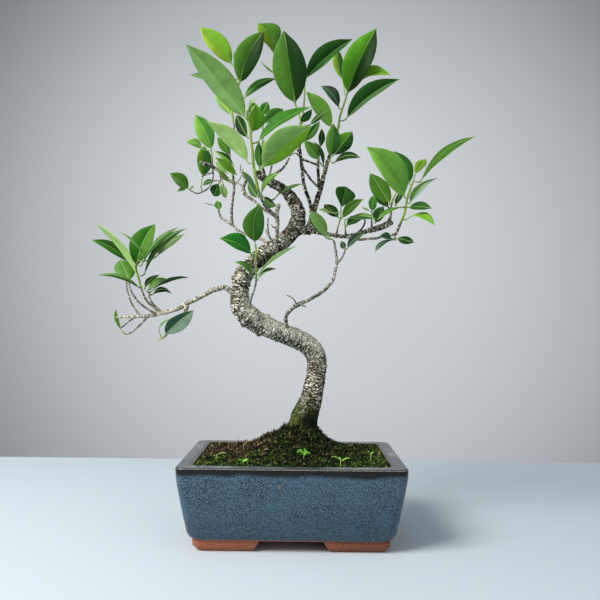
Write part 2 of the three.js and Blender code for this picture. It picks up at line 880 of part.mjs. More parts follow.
// ---------------------------------------------------------------- the leafy shoots
// Each shoot grows from the end of one woody twig: its green stems, then its leaves.
const SHOOTS = {
  left_back_shoot: {
    from: "left_twig_1",
    stems: [[[127, 277, 19, 1.7], [127.8, 269, 20, 1.6], [128, 262, 20, 1.4]]],
    leaves: [leaf([128, 262, 20], [91, 240, 10], 4, 6, { bow: 3.5, wide: 14 })],
  },
  left_round_shoot: {
    from: "left_twig_2",
    stems: [[[129.5, 281.5, -1, 1.5]]],
    leaves: [leaf([129, 281, -1], [120, 259.5, 13], 9.6, 9.9, { bow: 0.5, wide: 21 })],
  },
  left_main_shoot: {
    from: "left_twig_3",
    stems: [
      [[139, 280, 1, 2.4], [137, 273, -1, 2.2], [136, 266, -1, 1.8], [137.5, 261, -1, 1.4]],
    ],
    leaves: [
      leaf([138, 277, -1], [95, 223, -16], 3, 3, { bow: 5.2, belly: 0.55, under: true }),
      leaf([144, 256.5, -8], [118, 231.5, -16], 1.1, 1.1, { bow: 3.2, wide: 11 }),
      leaf([136.5, 267, 0], [155.5, 224, 8], 12, 8.3, { bow: -3.8, wide: 25 }),
      leaf([142, 265, -5], [179, 227, -20], 2.5, 2.5, { bow: -4.8, wide: 18 }),
      leaf([144.5, 274, -7], [187, 228, -26], 3.3, 3.3, { bow: -7.5, belly: 0.4, wide: 21 }),
      leaf([157, 256, 6], [185, 234, 14], 3.5, 3.5, { bow: -2.5, wide: 13 }),
      leaf([139, 287.5, -7], [96, 275.5, -22], 2.3, 2.3, { bow: 5, belly: 0.35, wide: 14 }),
    ],
  },
  left_inner_shoot: {
    from: "left_twig_4",
    stems: [[[149.8, 292.5, 7.5, 1.6]]],
    leaves: [
      leaf([145, 288, 8], [160, 275, 20], 3.2, 2.6, { bow: -2.5, wide: 10 }),
      leaf([147.5, 292, 5], [168, 279, -2], 3.6, 3, { bow: -3.2, wide: 10 }),
      leaf([151, 292, 7], [189, 277.5, -4], 1.7, 1.7, { bow: -4.6, wide: 13 }),
      leaf([152, 295, 9], [172, 294, 14], 2.8, 2.6, { bow: -5, wide: 9 }),
    ],
  },
  left_tip_shoot: {
    from: "left_twig_6",
    stems: [[[121.5, 330.5, 13, 1.4]]],
    leaves: [leaf([121.5, 330.5, 13], [116, 309, 20], 2, 2, { bow: -2, wide: 8 })],
  },
  left_hanging_shoot: {
    from: "left_hanging_twig",
    stems: [[[163, 338, -19, 1.8], [157.5, 339.5, -19, 1.5]]],
    leaves: [
      leaf([165.5, 334.5, -22], [194, 310, -34], 7, 9.3, { bow: -1.5, wide: 19 }),
      leaf([161, 336.5, -20], [172, 318.5, -24], 1.3, 1.3, { bow: -6.3, wide: 8 }),
    ],
  },
  back_bud_shoot: {
    from: "back_branch",
    stems: [[[219, 209, 36.5, 1.6]]],
    leaves: [
      leaf([219.3, 210, 34], [217, 200.5, 37], 3.8, 3.8, { wide: 8 }),
      leaf([214, 205.3, 36], [202, 202, 33], 0.8, 0.8, { wide: 3 }),
    ],
  },
  back_crown_shoot: {
    from: "back_crown_nub",
    stems: [[[226.5, 162, 24, 1.5], [225, 158, 23, 1.2]]],
    leaves: [
      leaf([229.5, 154.5, 22], [217, 137, 19], 4, 5),
      leaf([233.5, 165, 22], [214, 151, 13], 2.5, 3, { bow: 1.5, wide: 9 }),
      leaf([236.5, 174.5, 20], [215, 157, 8], 3, 4.6, { wide: 10 }),
      leaf([227, 173, 24], [215, 160.5, 19], 3.5, 2, { wide: 8 }),
      leaf([229.5, 182, 26], [217, 169, 22], 2.5, 2.5, { wide: 8 }),
    ],
  },
  back_left_shoot: {
    from: "back_left_nub",
    stems: [[[212, 157, 32, 1.6], [211.5, 151, 31, 1.4]]],
    leaves: [
      leaf([211.5, 150, 31], [195, 114.5, 28], 9, 8.4, { bow: 2, wide: 21, folded: true }),
      leaf([202, 148.6, 29], [186, 142, 24], 4, 4, { bow: 3, wide: 9 }),
    ],
  },
  back_drop_shoot: {
    from: "back_drop_nub",
    stems: [[[220.5, 181.5, 38, 1.5]]],
    leaves: [
      leaf([218.5, 183.5, 38], [214, 196.5, 46], 5, 7, { wide: 14 }),
      leaf([220.5, 184, 37], [226, 198.5, 42], 4.4, 3, { wide: 9 }),
      leaf([214, 181, 36.5], [202.5, 185.5, 39], 2.2, 2.7, { bow: 1.2, wide: 7 }),
    ],
  },
  far_left_shoot: {
    from: "far_left_twig",
    stems: [[[188.5, 188.5, 24, 1.4]]],
    leaves: [
      leaf([188.5, 188.5, 24], [169.5, 173, 16], 4.8, 7.8, { bow: 0.5, wide: 16 }),
      leaf([186, 188, 22], [177, 191.5, 16], 1.5, 2.5, { wide: 5 }),
    ],
  },
  far_left_back_shoot: {
    from: "far_left_nub",
    stems: [[[201.3, 183, 36, 1.4], [202.3, 178.5, 42, 1.3]]],
    leaves: [leaf([202.7, 177, 43], [204, 146, 48], 6.5, 9.5, { wide: 20 })],
  },
  back_top_shoot: {
    from: "back_upright",
    stems: [
      [
        [233, 120, 23, 2.2],
        [232.5, 111, 22, 2.2],
        [234.5, 99, 20, 2.1],
        [238, 88, 18, 2],
        [238, 77, 17, 1.8],
        [235, 68.5, 16, 1.5],
      ],
    ],
    leaves: [
      leaf([231.5, 115, 22], [215, 95, 26], 4, 4, { wide: 10 }),
      leaf([239.5, 84, 16], [265, 30, 4], 13.4, 10, { bow: -3.6, wide: 28, folded: true }),
      leaf([232.3, 64.5, 16], [200, 27, 10], 6.5, 11.5, { wide: 25 }),
      leaf([244, 98.5, 18], [277, 78.5, 24], 4, 4, { bow: -4.3, wide: 13 }),
      leaf([222, 82, 22], [189, 75, 30], 3, 3, { bow: 2, wide: 12 }),
      leaf([236, 64, 14], [235, 50.5, 12], 2.5, 1.5, { wide: 5 }),
    ],
  },
  front_shoot: {
    from: "front_twig",
    stems: [
      [
        [257, 185, -30, 3],
        [255, 175, -32, 3],
        [253.5, 165, -33, 2.8],
        [252.5, 152, -34, 2.8],
        [251, 140, -35, 2.6],
        [250, 128, -36, 2.4],
        [247.5, 119, -37, 2],
      ],
    ],
    leaves: [
      leaf([246.5, 119.5, -38], [185, 43.5, -62], 10.8, 14, { bow: 2, wide: 28, under: true }),
      leaf([261.5, 168.5, -36], [312, 126, -54], 15.5, 11, { bow: -3, wide: 31, under: true }),
      leaf([257.5, 142, -37], [312, 107, -42], 7.5, 2.5, { bow: -4, wide: 21 }),
      leaf([248, 162.5, -37], [206, 121, -54], 5.2, 10.5, { bow: 3, wide: 23, under: true }),
      leaf([251.8, 132.5, -33], [254.5, 102.5, -22], 6.4, 11, { bow: 1, wide: 22 }),
      leaf([247.5, 137.5, -32], [236, 115, -22], 6, 5),
      leaf([261.5, 195, -31], [280, 173, -42], 3, 2.8, { bow: -5, wide: 11 }),
      leaf([274, 199.3, -30], [304, 184, -44], 1.4, 1.4, { bow: -3.4, wide: 11 }),
      leaf([256, 189.5, -32], [241, 171, -44], 2.8, 2.8, { bow: 1, wide: 10 }),
      leaf([258, 197.5, -24], [248, 182, -14], 5, 4.5, { wide: 11 }),
      leaf([264, 198, -31], [276.5, 206, -36], 3, 6, { wide: 12 }),
      leaf([248.5, 124, -37], [246.8, 110, -34], 1.2, 1.2, { wide: 4 }),
    ],
  },
  lower_shoot: {
    from: "lower_twig",
    stems: [
      [[256, 270, -29, 2.2], [255.5, 260, -30, 2], [256, 250, -31, 2], [255, 243, -32, 1.7]],
    ],
    leaves: [
      leaf([255, 242.5, -32], [260, 203.5, -42], 10.9, 10.5, { bow: -3.5, wide: 22, folded: true }),
      leaf([251.5, 254, -32], [219.5, 238.5, -38], 4.9, 10.9, { bow: 2.9, wide: 22 }),
      leaf([252.5, 277.5, -29], [234, 262, -36], 2.5, 3, { bow: 5, wide: 10 }),
      leaf([258, 275, -29], [297, 246, -40], 2, 2, { bow: -4, wide: 13 }),
      leaf([258, 280, -29], [277, 269, -32], 1.8, 1.8, { bow: -4.2, wide: 9 }),
    ],
  },
  right_front_shoot: {
    from: "right_low_branch",
    stems: [
      [
        [403, 217, -10, 2.7],
        [405.2, 210, -11, 2.5],
        [406.3, 203, -12, 2.5],
        [408.5, 194, -13, 2.3],
        [411.5, 186, -13, 2.1],
        [414, 178, -12, 1.8],
      ],
    ],
    leaves: [
      leaf([404.5, 197, -15], [366, 146.5, -32], 9.3, 15.6, { bow: 4.5, wide: 31 }),
      leaf([409.5, 184, -9], [394, 151, 0], 6, 10.5, { wide: 22 }),
      leaf([415, 174, -12], [426, 159, -8], 6, 3.5, { wide: 12 }),
      leaf([421, 181, -15], [476, 136.5, -38], 4, 4, { bow: -7.2, wide: 22 }),
      leaf([410, 203, -12], [438, 178, 0], 3.8, 3.2, { bow: -4.6, belly: 0.4, wide: 13 }),
      leaf([409, 207.2, -13], [432, 208.5, -24], 5.5, 3, { bow: -0.8, wide: 12 }),
      leaf([406, 220, -10], [435, 226, -26], 3, 2.9, { bow: -7.9, belly: 0.55, wide: 12 }),
      leaf([403, 207.5, -15], [378, 220, -34], 2, 2, { bow: 3.4, wide: 12 }),
    ],
  },
  right_back_shoot: {
    from: "right_gnarl_up",
    stems: [[[392.5, 201, 11, 2], [395.5, 194, 11, 1.7], [397.8, 189, 11, 1.3]]],
    leaves: [
      leaf([390, 204, 9], [370, 173, 12], 8.7, 8.7, { wide: 20 }),
      leaf([386, 186, 16], [376, 196, 20], 2.2, 2.2, { wide: 7 }),
      leaf([388.5, 207.5, 14], [375, 195, 24], 3.5, 4, { wide: 10 }),
      leaf([396, 205, 14], [402, 190, 24], 3, 3, { wide: 9 }),
    ],
  },
  right_mid_shoot: {
    from: "right_mid_nub",
    stems: [[[371.5, 217, 9, 1.6], [372, 212, 8, 1.4]]],
    leaves: [
      leaf([372, 211, 8], [374, 194.5, 2], 4.5, 4, { wide: 10 }),
      leaf([375.5, 222.5, 7], [384, 206, 2], 7, 4.5, { wide: 14 }),
      leaf([370, 211, 9], [361.5, 207, 12], 1, 1, { wide: 3 }),
    ],
  },
  right_low_shoot: {
    from: "right_low_nub",
    stems: [[[395.5, 240, -7, 1.4]]],
    leaves: [
      leaf([393, 240, -8], [375, 252.5, -16], 2.3, 2.3, { bow: 3.5, wide: 9 }),
      leaf([397.3, 238.2, -9], [414.5, 242.5, -16], 4, 4, { wide: 9 }),
      leaf([391.5, 238.5, -9], [379, 236.5, -14], 1.5, 5.5, { wide: 11 }),
    ],
  },
  trio_shoot: {
    from: "trio_nub",
    stems: [[[339, 223, 14, 1.8], [340.6, 217, 13, 1.6], [341, 209, 12, 1.4]]],
    leaves: [
      leaf([341, 208, 12], [346, 186.5, 16], 9.5, 11.5, { wide: 24, belly: 0.62 }),
      leaf([342, 218, 9], [363.5, 199, -2], 6, 3.5, { bow: -1.5, wide: 13 }),
      leaf([338.5, 217.5, 16], [324, 204.5, 22], 4.5, 6, { wide: 13 }),
      leaf([331, 212.5, 14], [318.5, 209.3, 12], 1.5, 2.5, { wide: 6 }),
    ],
  },
  trio_low_shoot: {
    from: "trio_low_nub",
    stems: [[[345.3, 226, 12, 1.6], [344.6, 221.5, 10, 1.4]]],
    leaves: [
      leaf([345.5, 220, 8], [375.5, 219, -4], 3.4, 2.6, { bow: -3, belly: 0.6, wide: 12 }),
      leaf([346.5, 226, 14], [362, 218.5, 22], 5.5, 3, { bow: -1.5, wide: 12 }),
    ],
  },
  rising_shoot: {
    from: "rising_branch",
    stems: [[[332.5, 239.5, -2, 1.8]]],
    leaves: [
      leaf([327, 235.5, -4], [310, 211, -12], 4.5, 6.5, { bow: 0.5, wide: 14 }),
      leaf([325, 236.5, 0], [308.5, 215, 0], 3.5, 3, { wide: 11 }),
    ],
  },
  rising_side_shoot: {
    from: "rising_side",
    stems: [[[345, 250, -9.5, 1.5]]],
    leaves: [
      leaf([344.7, 249, -9.5], [341, 241, -11], 3, 3, { wide: 6.5 }),
      leaf([347, 248.5, -10], [365, 233, -14], 4.5, 2.6, { bow: -2, wide: 10 }),
    ],
  },
  right_crown_shoot: {
    from: "upright_2",
    stems: [
      [
        [336, 136, 26, 2.8],
        [338.5, 127, 26, 2.6],
        [339.6, 118, 26, 2.4],
        [341.8, 110.5, 25, 2.2],
        [344.3, 103, 24, 2],
        [346.3, 97, 23, 1.8],
      ],
    ],
    leaves: [
      leaf([347, 95, 23], [376.5, 28, 14], 16.3, 11, { bow: -1.7, wide: 34, folded: true }),
      leaf([342.5, 80, 30], [338, 48.5, 34], 4.7, 6, { bow: -2.5, wide: 14 }),
      leaf([359, 82.5, 28], [391, 75.5, 14], 7, 2.8, { bow: -6, wide: 15 }),
      leaf([346, 119, 22], [400, 79, 8], 11.5, 3.4, { bow: -4, wide: 25 }),
      leaf([338.8, 108, 28], [320.5, 86, 36], 4, 6.4, { bow: 3.5, wide: 14 }),
      leaf([331.5, 128, 22], [306, 91.5, 16], 6.4, 8.3, { bow: 2, wide: 18 }),
    ],
  },
  middle_right_shoot: {
    from: "upright_2_nub",
    stems: [[[330, 159.5, 14, 1.7], [331, 156, 13, 1.5]]],
    leaves: [
      leaf([330.8, 156.5, 13], [333, 123, 4], 7, 7.5, { bow: 1, wide: 17, folded: true }),
      leaf([333.5, 155.5, 15], [352.5, 131.5, 18], 9, 8, { wide: 19 }),
      leaf([334, 163, 12], [361, 158, 0], 4, 3.2, { bow: -4.5, wide: 11 }),
    ],
  },
  middle_shoot: {
    from: "upright_3",
    stems: [[[318.2, 157.5, 7, 1.8], [319, 150, 8, 1.5]]],
    leaves: [
      leaf([319.5, 159, 4], [304, 140.5, -5], 5.4, 6.2, { wide: 13 }),
      leaf([323.5, 166, 8], [313.5, 141.5, 0], 2.2, 2.2, { bow: 3, wide: 10 }),
      leaf([320, 147, 8], [322, 128.5, 10], 2.5, 4, { wide: 9 }),
    ],
  },
  centre_crown_shoot: {
    from: "upright_1",
    stems: [
      [
        [300.3, 140, 2, 2.6],
        [301, 128, 4, 2.4],
        [299.5, 116, 5, 2.2],
        [296.3, 107, 5, 1.8],
      ],
      [
        [301, 126, 4, 1.9],
        [303.5, 110, 9, 1.8],
        [304.5, 95, 13, 1.7],
        [304.8, 82, 15, 1.5],
      ],
      [
        [300, 118, 5, 1.9],
        [293, 98, 18, 1.8],
        [283, 76, 28, 1.7],
        [275, 58, 31, 1.5],
      ],
    ],
    leaves: [
      leaf([295.3, 105, 5], [283.5, 30, -8], 17.2, 15.2, { bow: 0.7, wide: 36, folded: true }),
      leaf([305, 79.5, 15], [353, 39, 6], 12, 4, { bow: -2.8, wide: 25 }),
      leaf([273.8, 54.5, 31], [257.5, 23.5, 25], 5, 13, { belly: 0.6, wide: 28 }),
      leaf([300.5, 122, 0], [312, 109, -6], 3, 5, { wide: 10 }),
      leaf([304.5, 141.5, 2], [320, 121, -8], 4, 4.5, { wide: 11 }),
      leaf([310, 124.5, 6], [326, 111, 0], 3, 2.6, { wide: 9 }),
    ],
  },
  inner_crown_shoot: {
    from: "crown_twig",
    stems: [
      [
        [262, 160, -9, 2.2],
        [262, 148, -10, 2],
        [263, 135, -10, 1.8],
        [262.5, 124, -10, 1.6],
        [262, 116, -10, 1.4],
      ],
    ],
    leaves: [
      leaf([259.5, 168, -10], [259, 141, -20], 4.6, 3.6, { wide: 10 }),
      leaf([262.5, 155, -10], [264.5, 140, -14], 1.4, 1.4, { wide: 4 }),
      leaf([262, 115, -10], [267.5, 101.5, -8], 5, 5, { wide: 10 }),
      leaf([263.5, 124, -12], [283.5, 109, -4], 7.5, 4, { wide: 15 }),
    ],
  },
};

/** The end of a woody twig: its place, the way it points, and how thick it is. */
function twigEnd(name) {
  const route = stations(TWIGS[name]);
  const curve = new THREE.CatmullRomCurve3(
    route.map((station) => station.at),
    false,
    "centripetal",
  );
  return { at: curve.getPoint(1), way: curve.getTangent(1), thick: route.at(-1).thick };
}

/** One leafy shoot: green stems and leaves, a hair's breadth off the twig that it grows from. */
function shootSolid({ from, stems, leaves }) {
  const { at, way, thick } = twigEnd(from);
  const start = [GAP, 4 * GAP].map((off) => ({ at: at.clone().addScaledVector(way, off), thick }));
  const routes = stems.map((places, k) => [...(k === 0 ? start : []), ...stations(places)]);
  const stemPoints = routes.flatMap((route) => {
    const curve = new THREE.CatmullRomCurve3(
      route.map((station) => station.at),
      false,
      "centripetal",
    );
    const along = curve.getPoints(4 * route.length);
    return [...along.filter((p) => p.distanceTo(at) > BARE_STEM), along.at(-1)];
  });
  return fuse([
    ...routes.map((route) => stem(route, TWIG_SIDES, 1)),
    ...leaves.map((shape) => leafOn(stemPoints, shape)),
  ]);
}

// ---------------------------------------------------------------- seedlings in the moss
// Weeds come up through the moss: where each stands, how tall it is, and its leaflets as
// turns round the stem, each with its length and how high up it sits as a share of the height.
const SEEDLINGS = {
  clover_seedling: {
    x: 9,
    y: -44,
    height: 7,
    leaflets: [
      { turn: 190, length: 7, share: 1, width: 4.6 },
      { turn: 300, length: 6, share: 0.7, width: 4.4 },
      { turn: 70, length: 6.5, share: 1, width: 4.4 },
      { turn: 0, length: 8, share: 0.4, width: 4 },
    ],
  },
  forked_seedling: {
    x: 46,
    y: -50,
    height: 9,
    leaflets: [
      { turn: 175, length: 9, share: 0.9, width: 1.8 },
      { turn: 15, length: 9, share: 0.7, width: 1.8 },
      { turn: 100, length: 6, share: 1, width: 1.6 },
    ],
  },
  left_seedling: {
    x: -66,
    y: -38,
    height: 6,
    leaflets: [
      { turn: 170, length: 6, share: 0.9, width: 1.6 },
      { turn: 350, length: 7, share: 0.9, width: 1.6 },
    ],
  },
  low_left_seedling: {
    x: -43,
    y: -50,
    height: 4,
    leaflets: [
      { turn: 185, length: 4.5, share: 1, width: 2.4 },
      { turn: 10, length: 5, share: 1, width: 2.4 },
    ],
  },
  right_seedling: {
    x: 76,
    y: -30,
    height: 8,
    leaflets: [
      { turn: 150, length: 4.5, share: 0.8, width: 1.8 },
      { turn: 20, length: 4, share: 0.6, width: 1.8 },
    ],
  },
};
const SEEDLING_STEM = 1.3;
const SEEDLING_ROOT = 5; // how deep a seedling's root goes below the moss's top
const LEAFLET_RISE = 35; // degrees above level

/** A leaflet as a flat rhombus that rises from the seedling's stem. */
function leafletSolid(root, { turn, length, width }) {
  const angle = THREE.MathUtils.degToRad(turn);
  const rise = THREE.MathUtils.degToRad(LEAFLET_RISE);
  const along = new THREE.Vector3(
    Math.cos(angle) * Math.cos(rise),
    Math.sin(angle) * Math.cos(rise),
    Math.sin(rise),
  );
  const across = new THREE.Vector3(-Math.sin(angle), Math.cos(angle), 0);
  const up = new THREE.Vector3().crossVectors(along, across);
  const corners = [
    [0, 0.25],
    [0.6, 0.5],
    [1, 0.15],
    [1, -0.15],
    [0.6, -0.5],
    [0, -0.25],
  ];
  const layer = (lift) =>
    corners.map(([far, aside]) =>
      root
        .clone()
        .addScaledVector(along, far * length)
        .addScaledVector(across, aside * width)
        .addScaledVector(up, lift),
    );
  return loft([layer(-LEAF_THICKNESS / 2), layer(LEAF_THICKNESS / 2)]);
}

/** A seedling: a straight thin stem, rooted in its hole in the moss, with its leaflets. */
function seedlingSolid({ x, y, height, leaflets }) {
  const ground = mossHeight(x, y);
  const body = pin(x, y, SEEDLING_STEM, ground - SEEDLING_ROOT, ground + height, 4);
  const blades = leaflets.map((shape) =>
    leafletSolid(new THREE.Vector3(x, y, ground + shape.share * (height - 1)), shape),
  );
  return fuse([body, ...blades]);
}

/** The hole in the moss that a seedling's root stands in. */
function seedlingHole({ x, y }) {
  const ground = mossHeight(x, y);
  return pin(x, y, SEEDLING_STEM + 2 * GAP, ground - SEEDLING_ROOT - GAP, ground + 6, 4);
}

// ---------------------------------------------------------------- the whole plant
const bonsai = new THREE.Group();

/** Adds one piece of the object, with its own name and material. */
function add(name, whole, colour, roughness) {
  const { vertProperties, triVerts } = whole.getMesh();
  const geometry = new THREE.BufferGeometry();
  geometry.setAttribute("position", new THREE.BufferAttribute(vertProperties, 3));
  geometry.setIndex(new THREE.BufferAttribute(triVerts, 1));
  geometry.computeVertexNormals();
  const material = new THREE.MeshStandardMaterial({ color: colour, roughness, metalness: 0 });
  const mesh = new THREE.Mesh(geometry, material);
  mesh.name = name;
  bonsai.add(mesh);
}

const holeForTrunk = trunkHole();
const seedlings = Object.entries(SEEDLINGS);
add("pot", potSolid(), "#4d6a7c", 0.25);
add("drain_mesh_left", drainMeshSolid(-DRAIN_SPACING / 2), "#2a2c2a", 0.6);
add("drain_mesh_right", drainMeshSolid(DRAIN_SPACING / 2), "#2a2c2a", 0.6);
add("soil", soilSolid([holeForTrunk]), "#3a2c1d", 0.95);
const holesInMoss = seedlings.map(([, seedling]) => seedlingHole(seedling));
add("moss", mossSolid([holeForTrunk, ...holesInMoss]), "#33491c", 0.95);
seedlings.forEach(([name, seedling]) => add(name, seedlingSolid(seedling), "#6fae33", 0.6));
add("trunk", trunkSolid(), "#9a9580", 0.9);
Object.entries(SHOOTS).forEach(([name, shoot]) => add(name, shootSolid(shoot), "#3f7a2c", 0.45));

// The origin is under the middle of the plant's bounding box, on the table.
const reach = new THREE.Box3().setFromObject(bonsai);
const middle = reach.getCenter(new THREE.Vector3());
bonsai.position.set(-middle.x, -middle.y, -reach.min.z);

const part = new THREE.Group();
part.add(bonsai);

export default part;
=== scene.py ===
"""Bonsai tree in a pot: a twisted fig with glossy leaves, rooted in a mossy mound in a blue
glazed pot on four bare clay feet. Sizes are in millimetres until a piece is finished."""

from __future__ import annotations

import logging
import math
import random
from collections.abc import Callable, Iterable, Sequence
from dataclasses import dataclass, field
from enum import Enum

import bmesh
import bpy
from mathutils import Matrix, Quaternion, Vector, noise

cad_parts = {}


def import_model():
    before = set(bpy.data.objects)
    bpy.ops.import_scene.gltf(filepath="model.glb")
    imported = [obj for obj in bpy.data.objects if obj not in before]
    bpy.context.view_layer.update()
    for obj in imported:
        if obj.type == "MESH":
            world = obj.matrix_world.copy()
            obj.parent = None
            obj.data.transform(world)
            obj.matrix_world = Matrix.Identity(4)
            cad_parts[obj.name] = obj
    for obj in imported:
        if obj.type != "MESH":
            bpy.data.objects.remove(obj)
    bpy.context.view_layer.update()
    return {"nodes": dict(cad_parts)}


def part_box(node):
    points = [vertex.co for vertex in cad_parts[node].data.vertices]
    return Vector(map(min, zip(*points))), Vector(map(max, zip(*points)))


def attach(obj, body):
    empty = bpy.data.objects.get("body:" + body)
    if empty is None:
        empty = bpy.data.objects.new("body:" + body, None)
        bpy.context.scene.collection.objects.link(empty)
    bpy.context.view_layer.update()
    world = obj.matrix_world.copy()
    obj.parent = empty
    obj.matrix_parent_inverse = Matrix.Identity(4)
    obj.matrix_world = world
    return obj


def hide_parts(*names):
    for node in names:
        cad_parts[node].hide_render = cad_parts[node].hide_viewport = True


LOG = logging.getLogger("bonsai")
MM = 0.001
SEED = 7
Place = tuple[float, float, float, float]
Point = tuple[float, float, float]
Colour = tuple[float, float, float, float]
EASED = {"interpolation_type": "SMOOTHSTEP"}
COLOURED = {"data_type": "RGBA"}
TIMES = {"data_type": "RGBA", "blend_type": "MULTIPLY"}


# ---- small sums
def smooth(low: float, high: float, value: float) -> float:
    """A smooth step from 0 at low to 1 at high.

    Args:
        low: where the step begins.
        high: where it ends.
        value: the place on it.

    Returns:
        The share of the step that is done, 0 to 1.
    """
    share = min(1.0, max(0.0, (value - low) / (high - low)))
    return share * share * (3 - 2 * share)


def mix(first: float, second: float, share: float) -> float:
    """The value a share of the way from first to second."""
    return first + (second - first) * share


def hill(value: float, width: float) -> float:
    """A bell that is 1 at 0 and falls off over a width."""
    return math.exp(-((value / width) ** 2))


def linear(code: str) -> Colour:
    """Turns an sRGB hex colour to the linear values that a shader takes.

    Args:
        code: the colour as "#rrggbb".

    Returns:
        Red, green, blue and full alpha, linear.
    """
    parts = [int(code[k : k + 2], 16) / 255 for k in (1, 3, 5)]
    red, green, blue = (
        part / 12.92 if part <= 0.04045 else ((part + 0.055) / 1.055) ** 2.4 for part in parts
    )
    return red, green, blue, 1.0


def per_metre(size: float) -> float:
    """The texture scale whose cells are about size millimetres on metre coordinates."""
    return 1 / (size * MM)


def stand(name: str, data: bpy.types.ID) -> bpy.types.Object:
    """Puts a mesh, a lamp or a camera into the scene.

    Args:
        name: the object's name.
        data: what it shows.

    Returns:
        The object.
    """
    made = bpy.data.objects.new(name, data)
    bpy.context.scene.collection.objects.link(made)
    return made


def to_mesh(name: str, bm: bmesh.types.BMesh) -> bpy.types.Mesh:
    """Turns work in hand to a mesh and lets go of the work.

    Args:
        name: the mesh's name.
        bm: the work.

    Returns:
        The mesh.
    """
    mesh = bpy.data.meshes.new(name)
    bm.to_mesh(mesh)
    bm.free()
    return mesh


# ---- the front view
@dataclass(frozen=True)
class View:
    """The front view that branches and leaves are placed in, and the camera that looks so.

    Across and down are in units of 1 mm on the trunk's plane, and depth counts steps behind
    it. middle is the pot's centre in the row frame.
    """

    middle: Vector
    eye: Point = (5.5, -650.0, 202.2)
    distance: float = 650.0
    centre: float = 300.0
    tilt: float = math.radians(2.43)
    roll: float = math.radians(0.63)
    depth_step: float = 1.4

    def eye_point(self) -> Vector:
        """The eye in the row frame."""
        return Vector(self.eye) + self.middle

    def axes(self) -> tuple[Vector, Vector, Vector]:
        """The view's right, up and forward directions.

        Returns:
            The three unit vectors.
        """
        forward = Vector((0, math.cos(self.tilt), math.sin(self.tilt)))
        level = Vector((1, 0, 0))
        right = level * math.cos(self.roll) + level.cross(forward) * math.sin(self.roll)
        return right, right.cross(forward), forward

    def place(self, point: Sequence[float]) -> Vector:
        """The real point that the view shows at a place.

        Args:
            point: across, down and depth, and perhaps a thickness that is left alone.

        Returns:
            The point in the row frame, in millimetres.
        """
        across, down, depth = point[:3]
        right, up, forward = self.axes()
        ray = forward * self.distance + right * (across - self.centre)
        ray += up * (self.centre - down)
        return self.eye_point() + ray * ((depth * self.depth_step - self.eye[1]) / ray.y)

    def stations(self, places: Iterable[Place]) -> list[Station]:
        """The stations of a stem whose places also give its thickness."""
        return [Station(self.place(at), at[3] / 2) for at in places]

    def add_camera(self) -> None:
        """Adds the camera, with the frame's half width standing for the centre's units."""
        sensor = 36.0
        camera = bpy.data.cameras.new("front_view")
        camera.sensor_width = sensor
        camera.lens = sensor * self.distance / (2 * self.centre)
        camera.clip_start, camera.clip_end = 0.02, 40.0
        holder = stand("front_view", camera)
        right, up, forward = self.axes()
        turned = Matrix((right, up, -forward)).transposed()
        holder.matrix_world = Matrix.Translation(self.eye_point() * MM) @ turned.to_4x4()
        bpy.context.scene.camera = holder


# ---- shaders
class Shader:
    """A Principled material in the making, with one way to add a node of any kind."""

    def __init__(self, name: str, **values: float) -> None:
        """Starts the material.

        Args:
            name: its name.
            values: constants for the surface's sockets, with _ for each space.
        """
        self.material = bpy.data.materials.new(name)
        self.material.use_nodes = True
        self.tree = self.material.node_tree
        self.surface = self.tree.nodes["Principled BSDF"]
        for socket, value in values.items():
            self.surface.inputs[socket.replace("_", " ")].default_value = value

    def add(
        self,
        kind: str,
        inputs: dict[int | str, object] | None = None,
        out: int | str = 0,
        stops: Sequence[tuple[float, str]] = (),
        **settings: object,
    ) -> bpy.types.NodeSocket:
        """Adds one node with its settings, its values and its links.

        Args:
            kind: the node's type, without "ShaderNode".
            inputs: for each input by name or number, the socket that feeds it, a value or an
                sRGB colour as "#rrggbb".
            out: the wanted output, by name or number.
            stops: a colour ramp's places, each with its sRGB colour.
            settings: the node's own properties.

        Returns:
            The output's socket.
        """
        node = self.tree.nodes.new("ShaderNode" + kind)
        for name, value in settings.items():
            setattr(node, name, value)
        for name, value in (inputs or {}).items():
            if isinstance(value, bpy.types.NodeSocket):
                self.tree.links.new(value, node.inputs[name])
            else:
                node.inputs[name].default_value = linear(value) if isinstance(value, str) else value
        for k, (place, colour) in enumerate(stops):
            stop = node.color_ramp.elements[k] if k < 2 else node.color_ramp.elements.new(place)
            stop.position, stop.color = place, linear(colour)
        return node.outputs[out]

    def finish(self, **feeds: bpy.types.NodeSocket) -> bpy.types.Material:
        """Links what feeds the surface.

        Args:
            feeds: for each of the surface's sockets, with _ for each space, what feeds it.

        Returns:
            The finished material.
        """
        for socket, feed in feeds.items():
            self.tree.links.new(feed, self.surface.inputs[socket.replace("_", " ")])
        return self.material


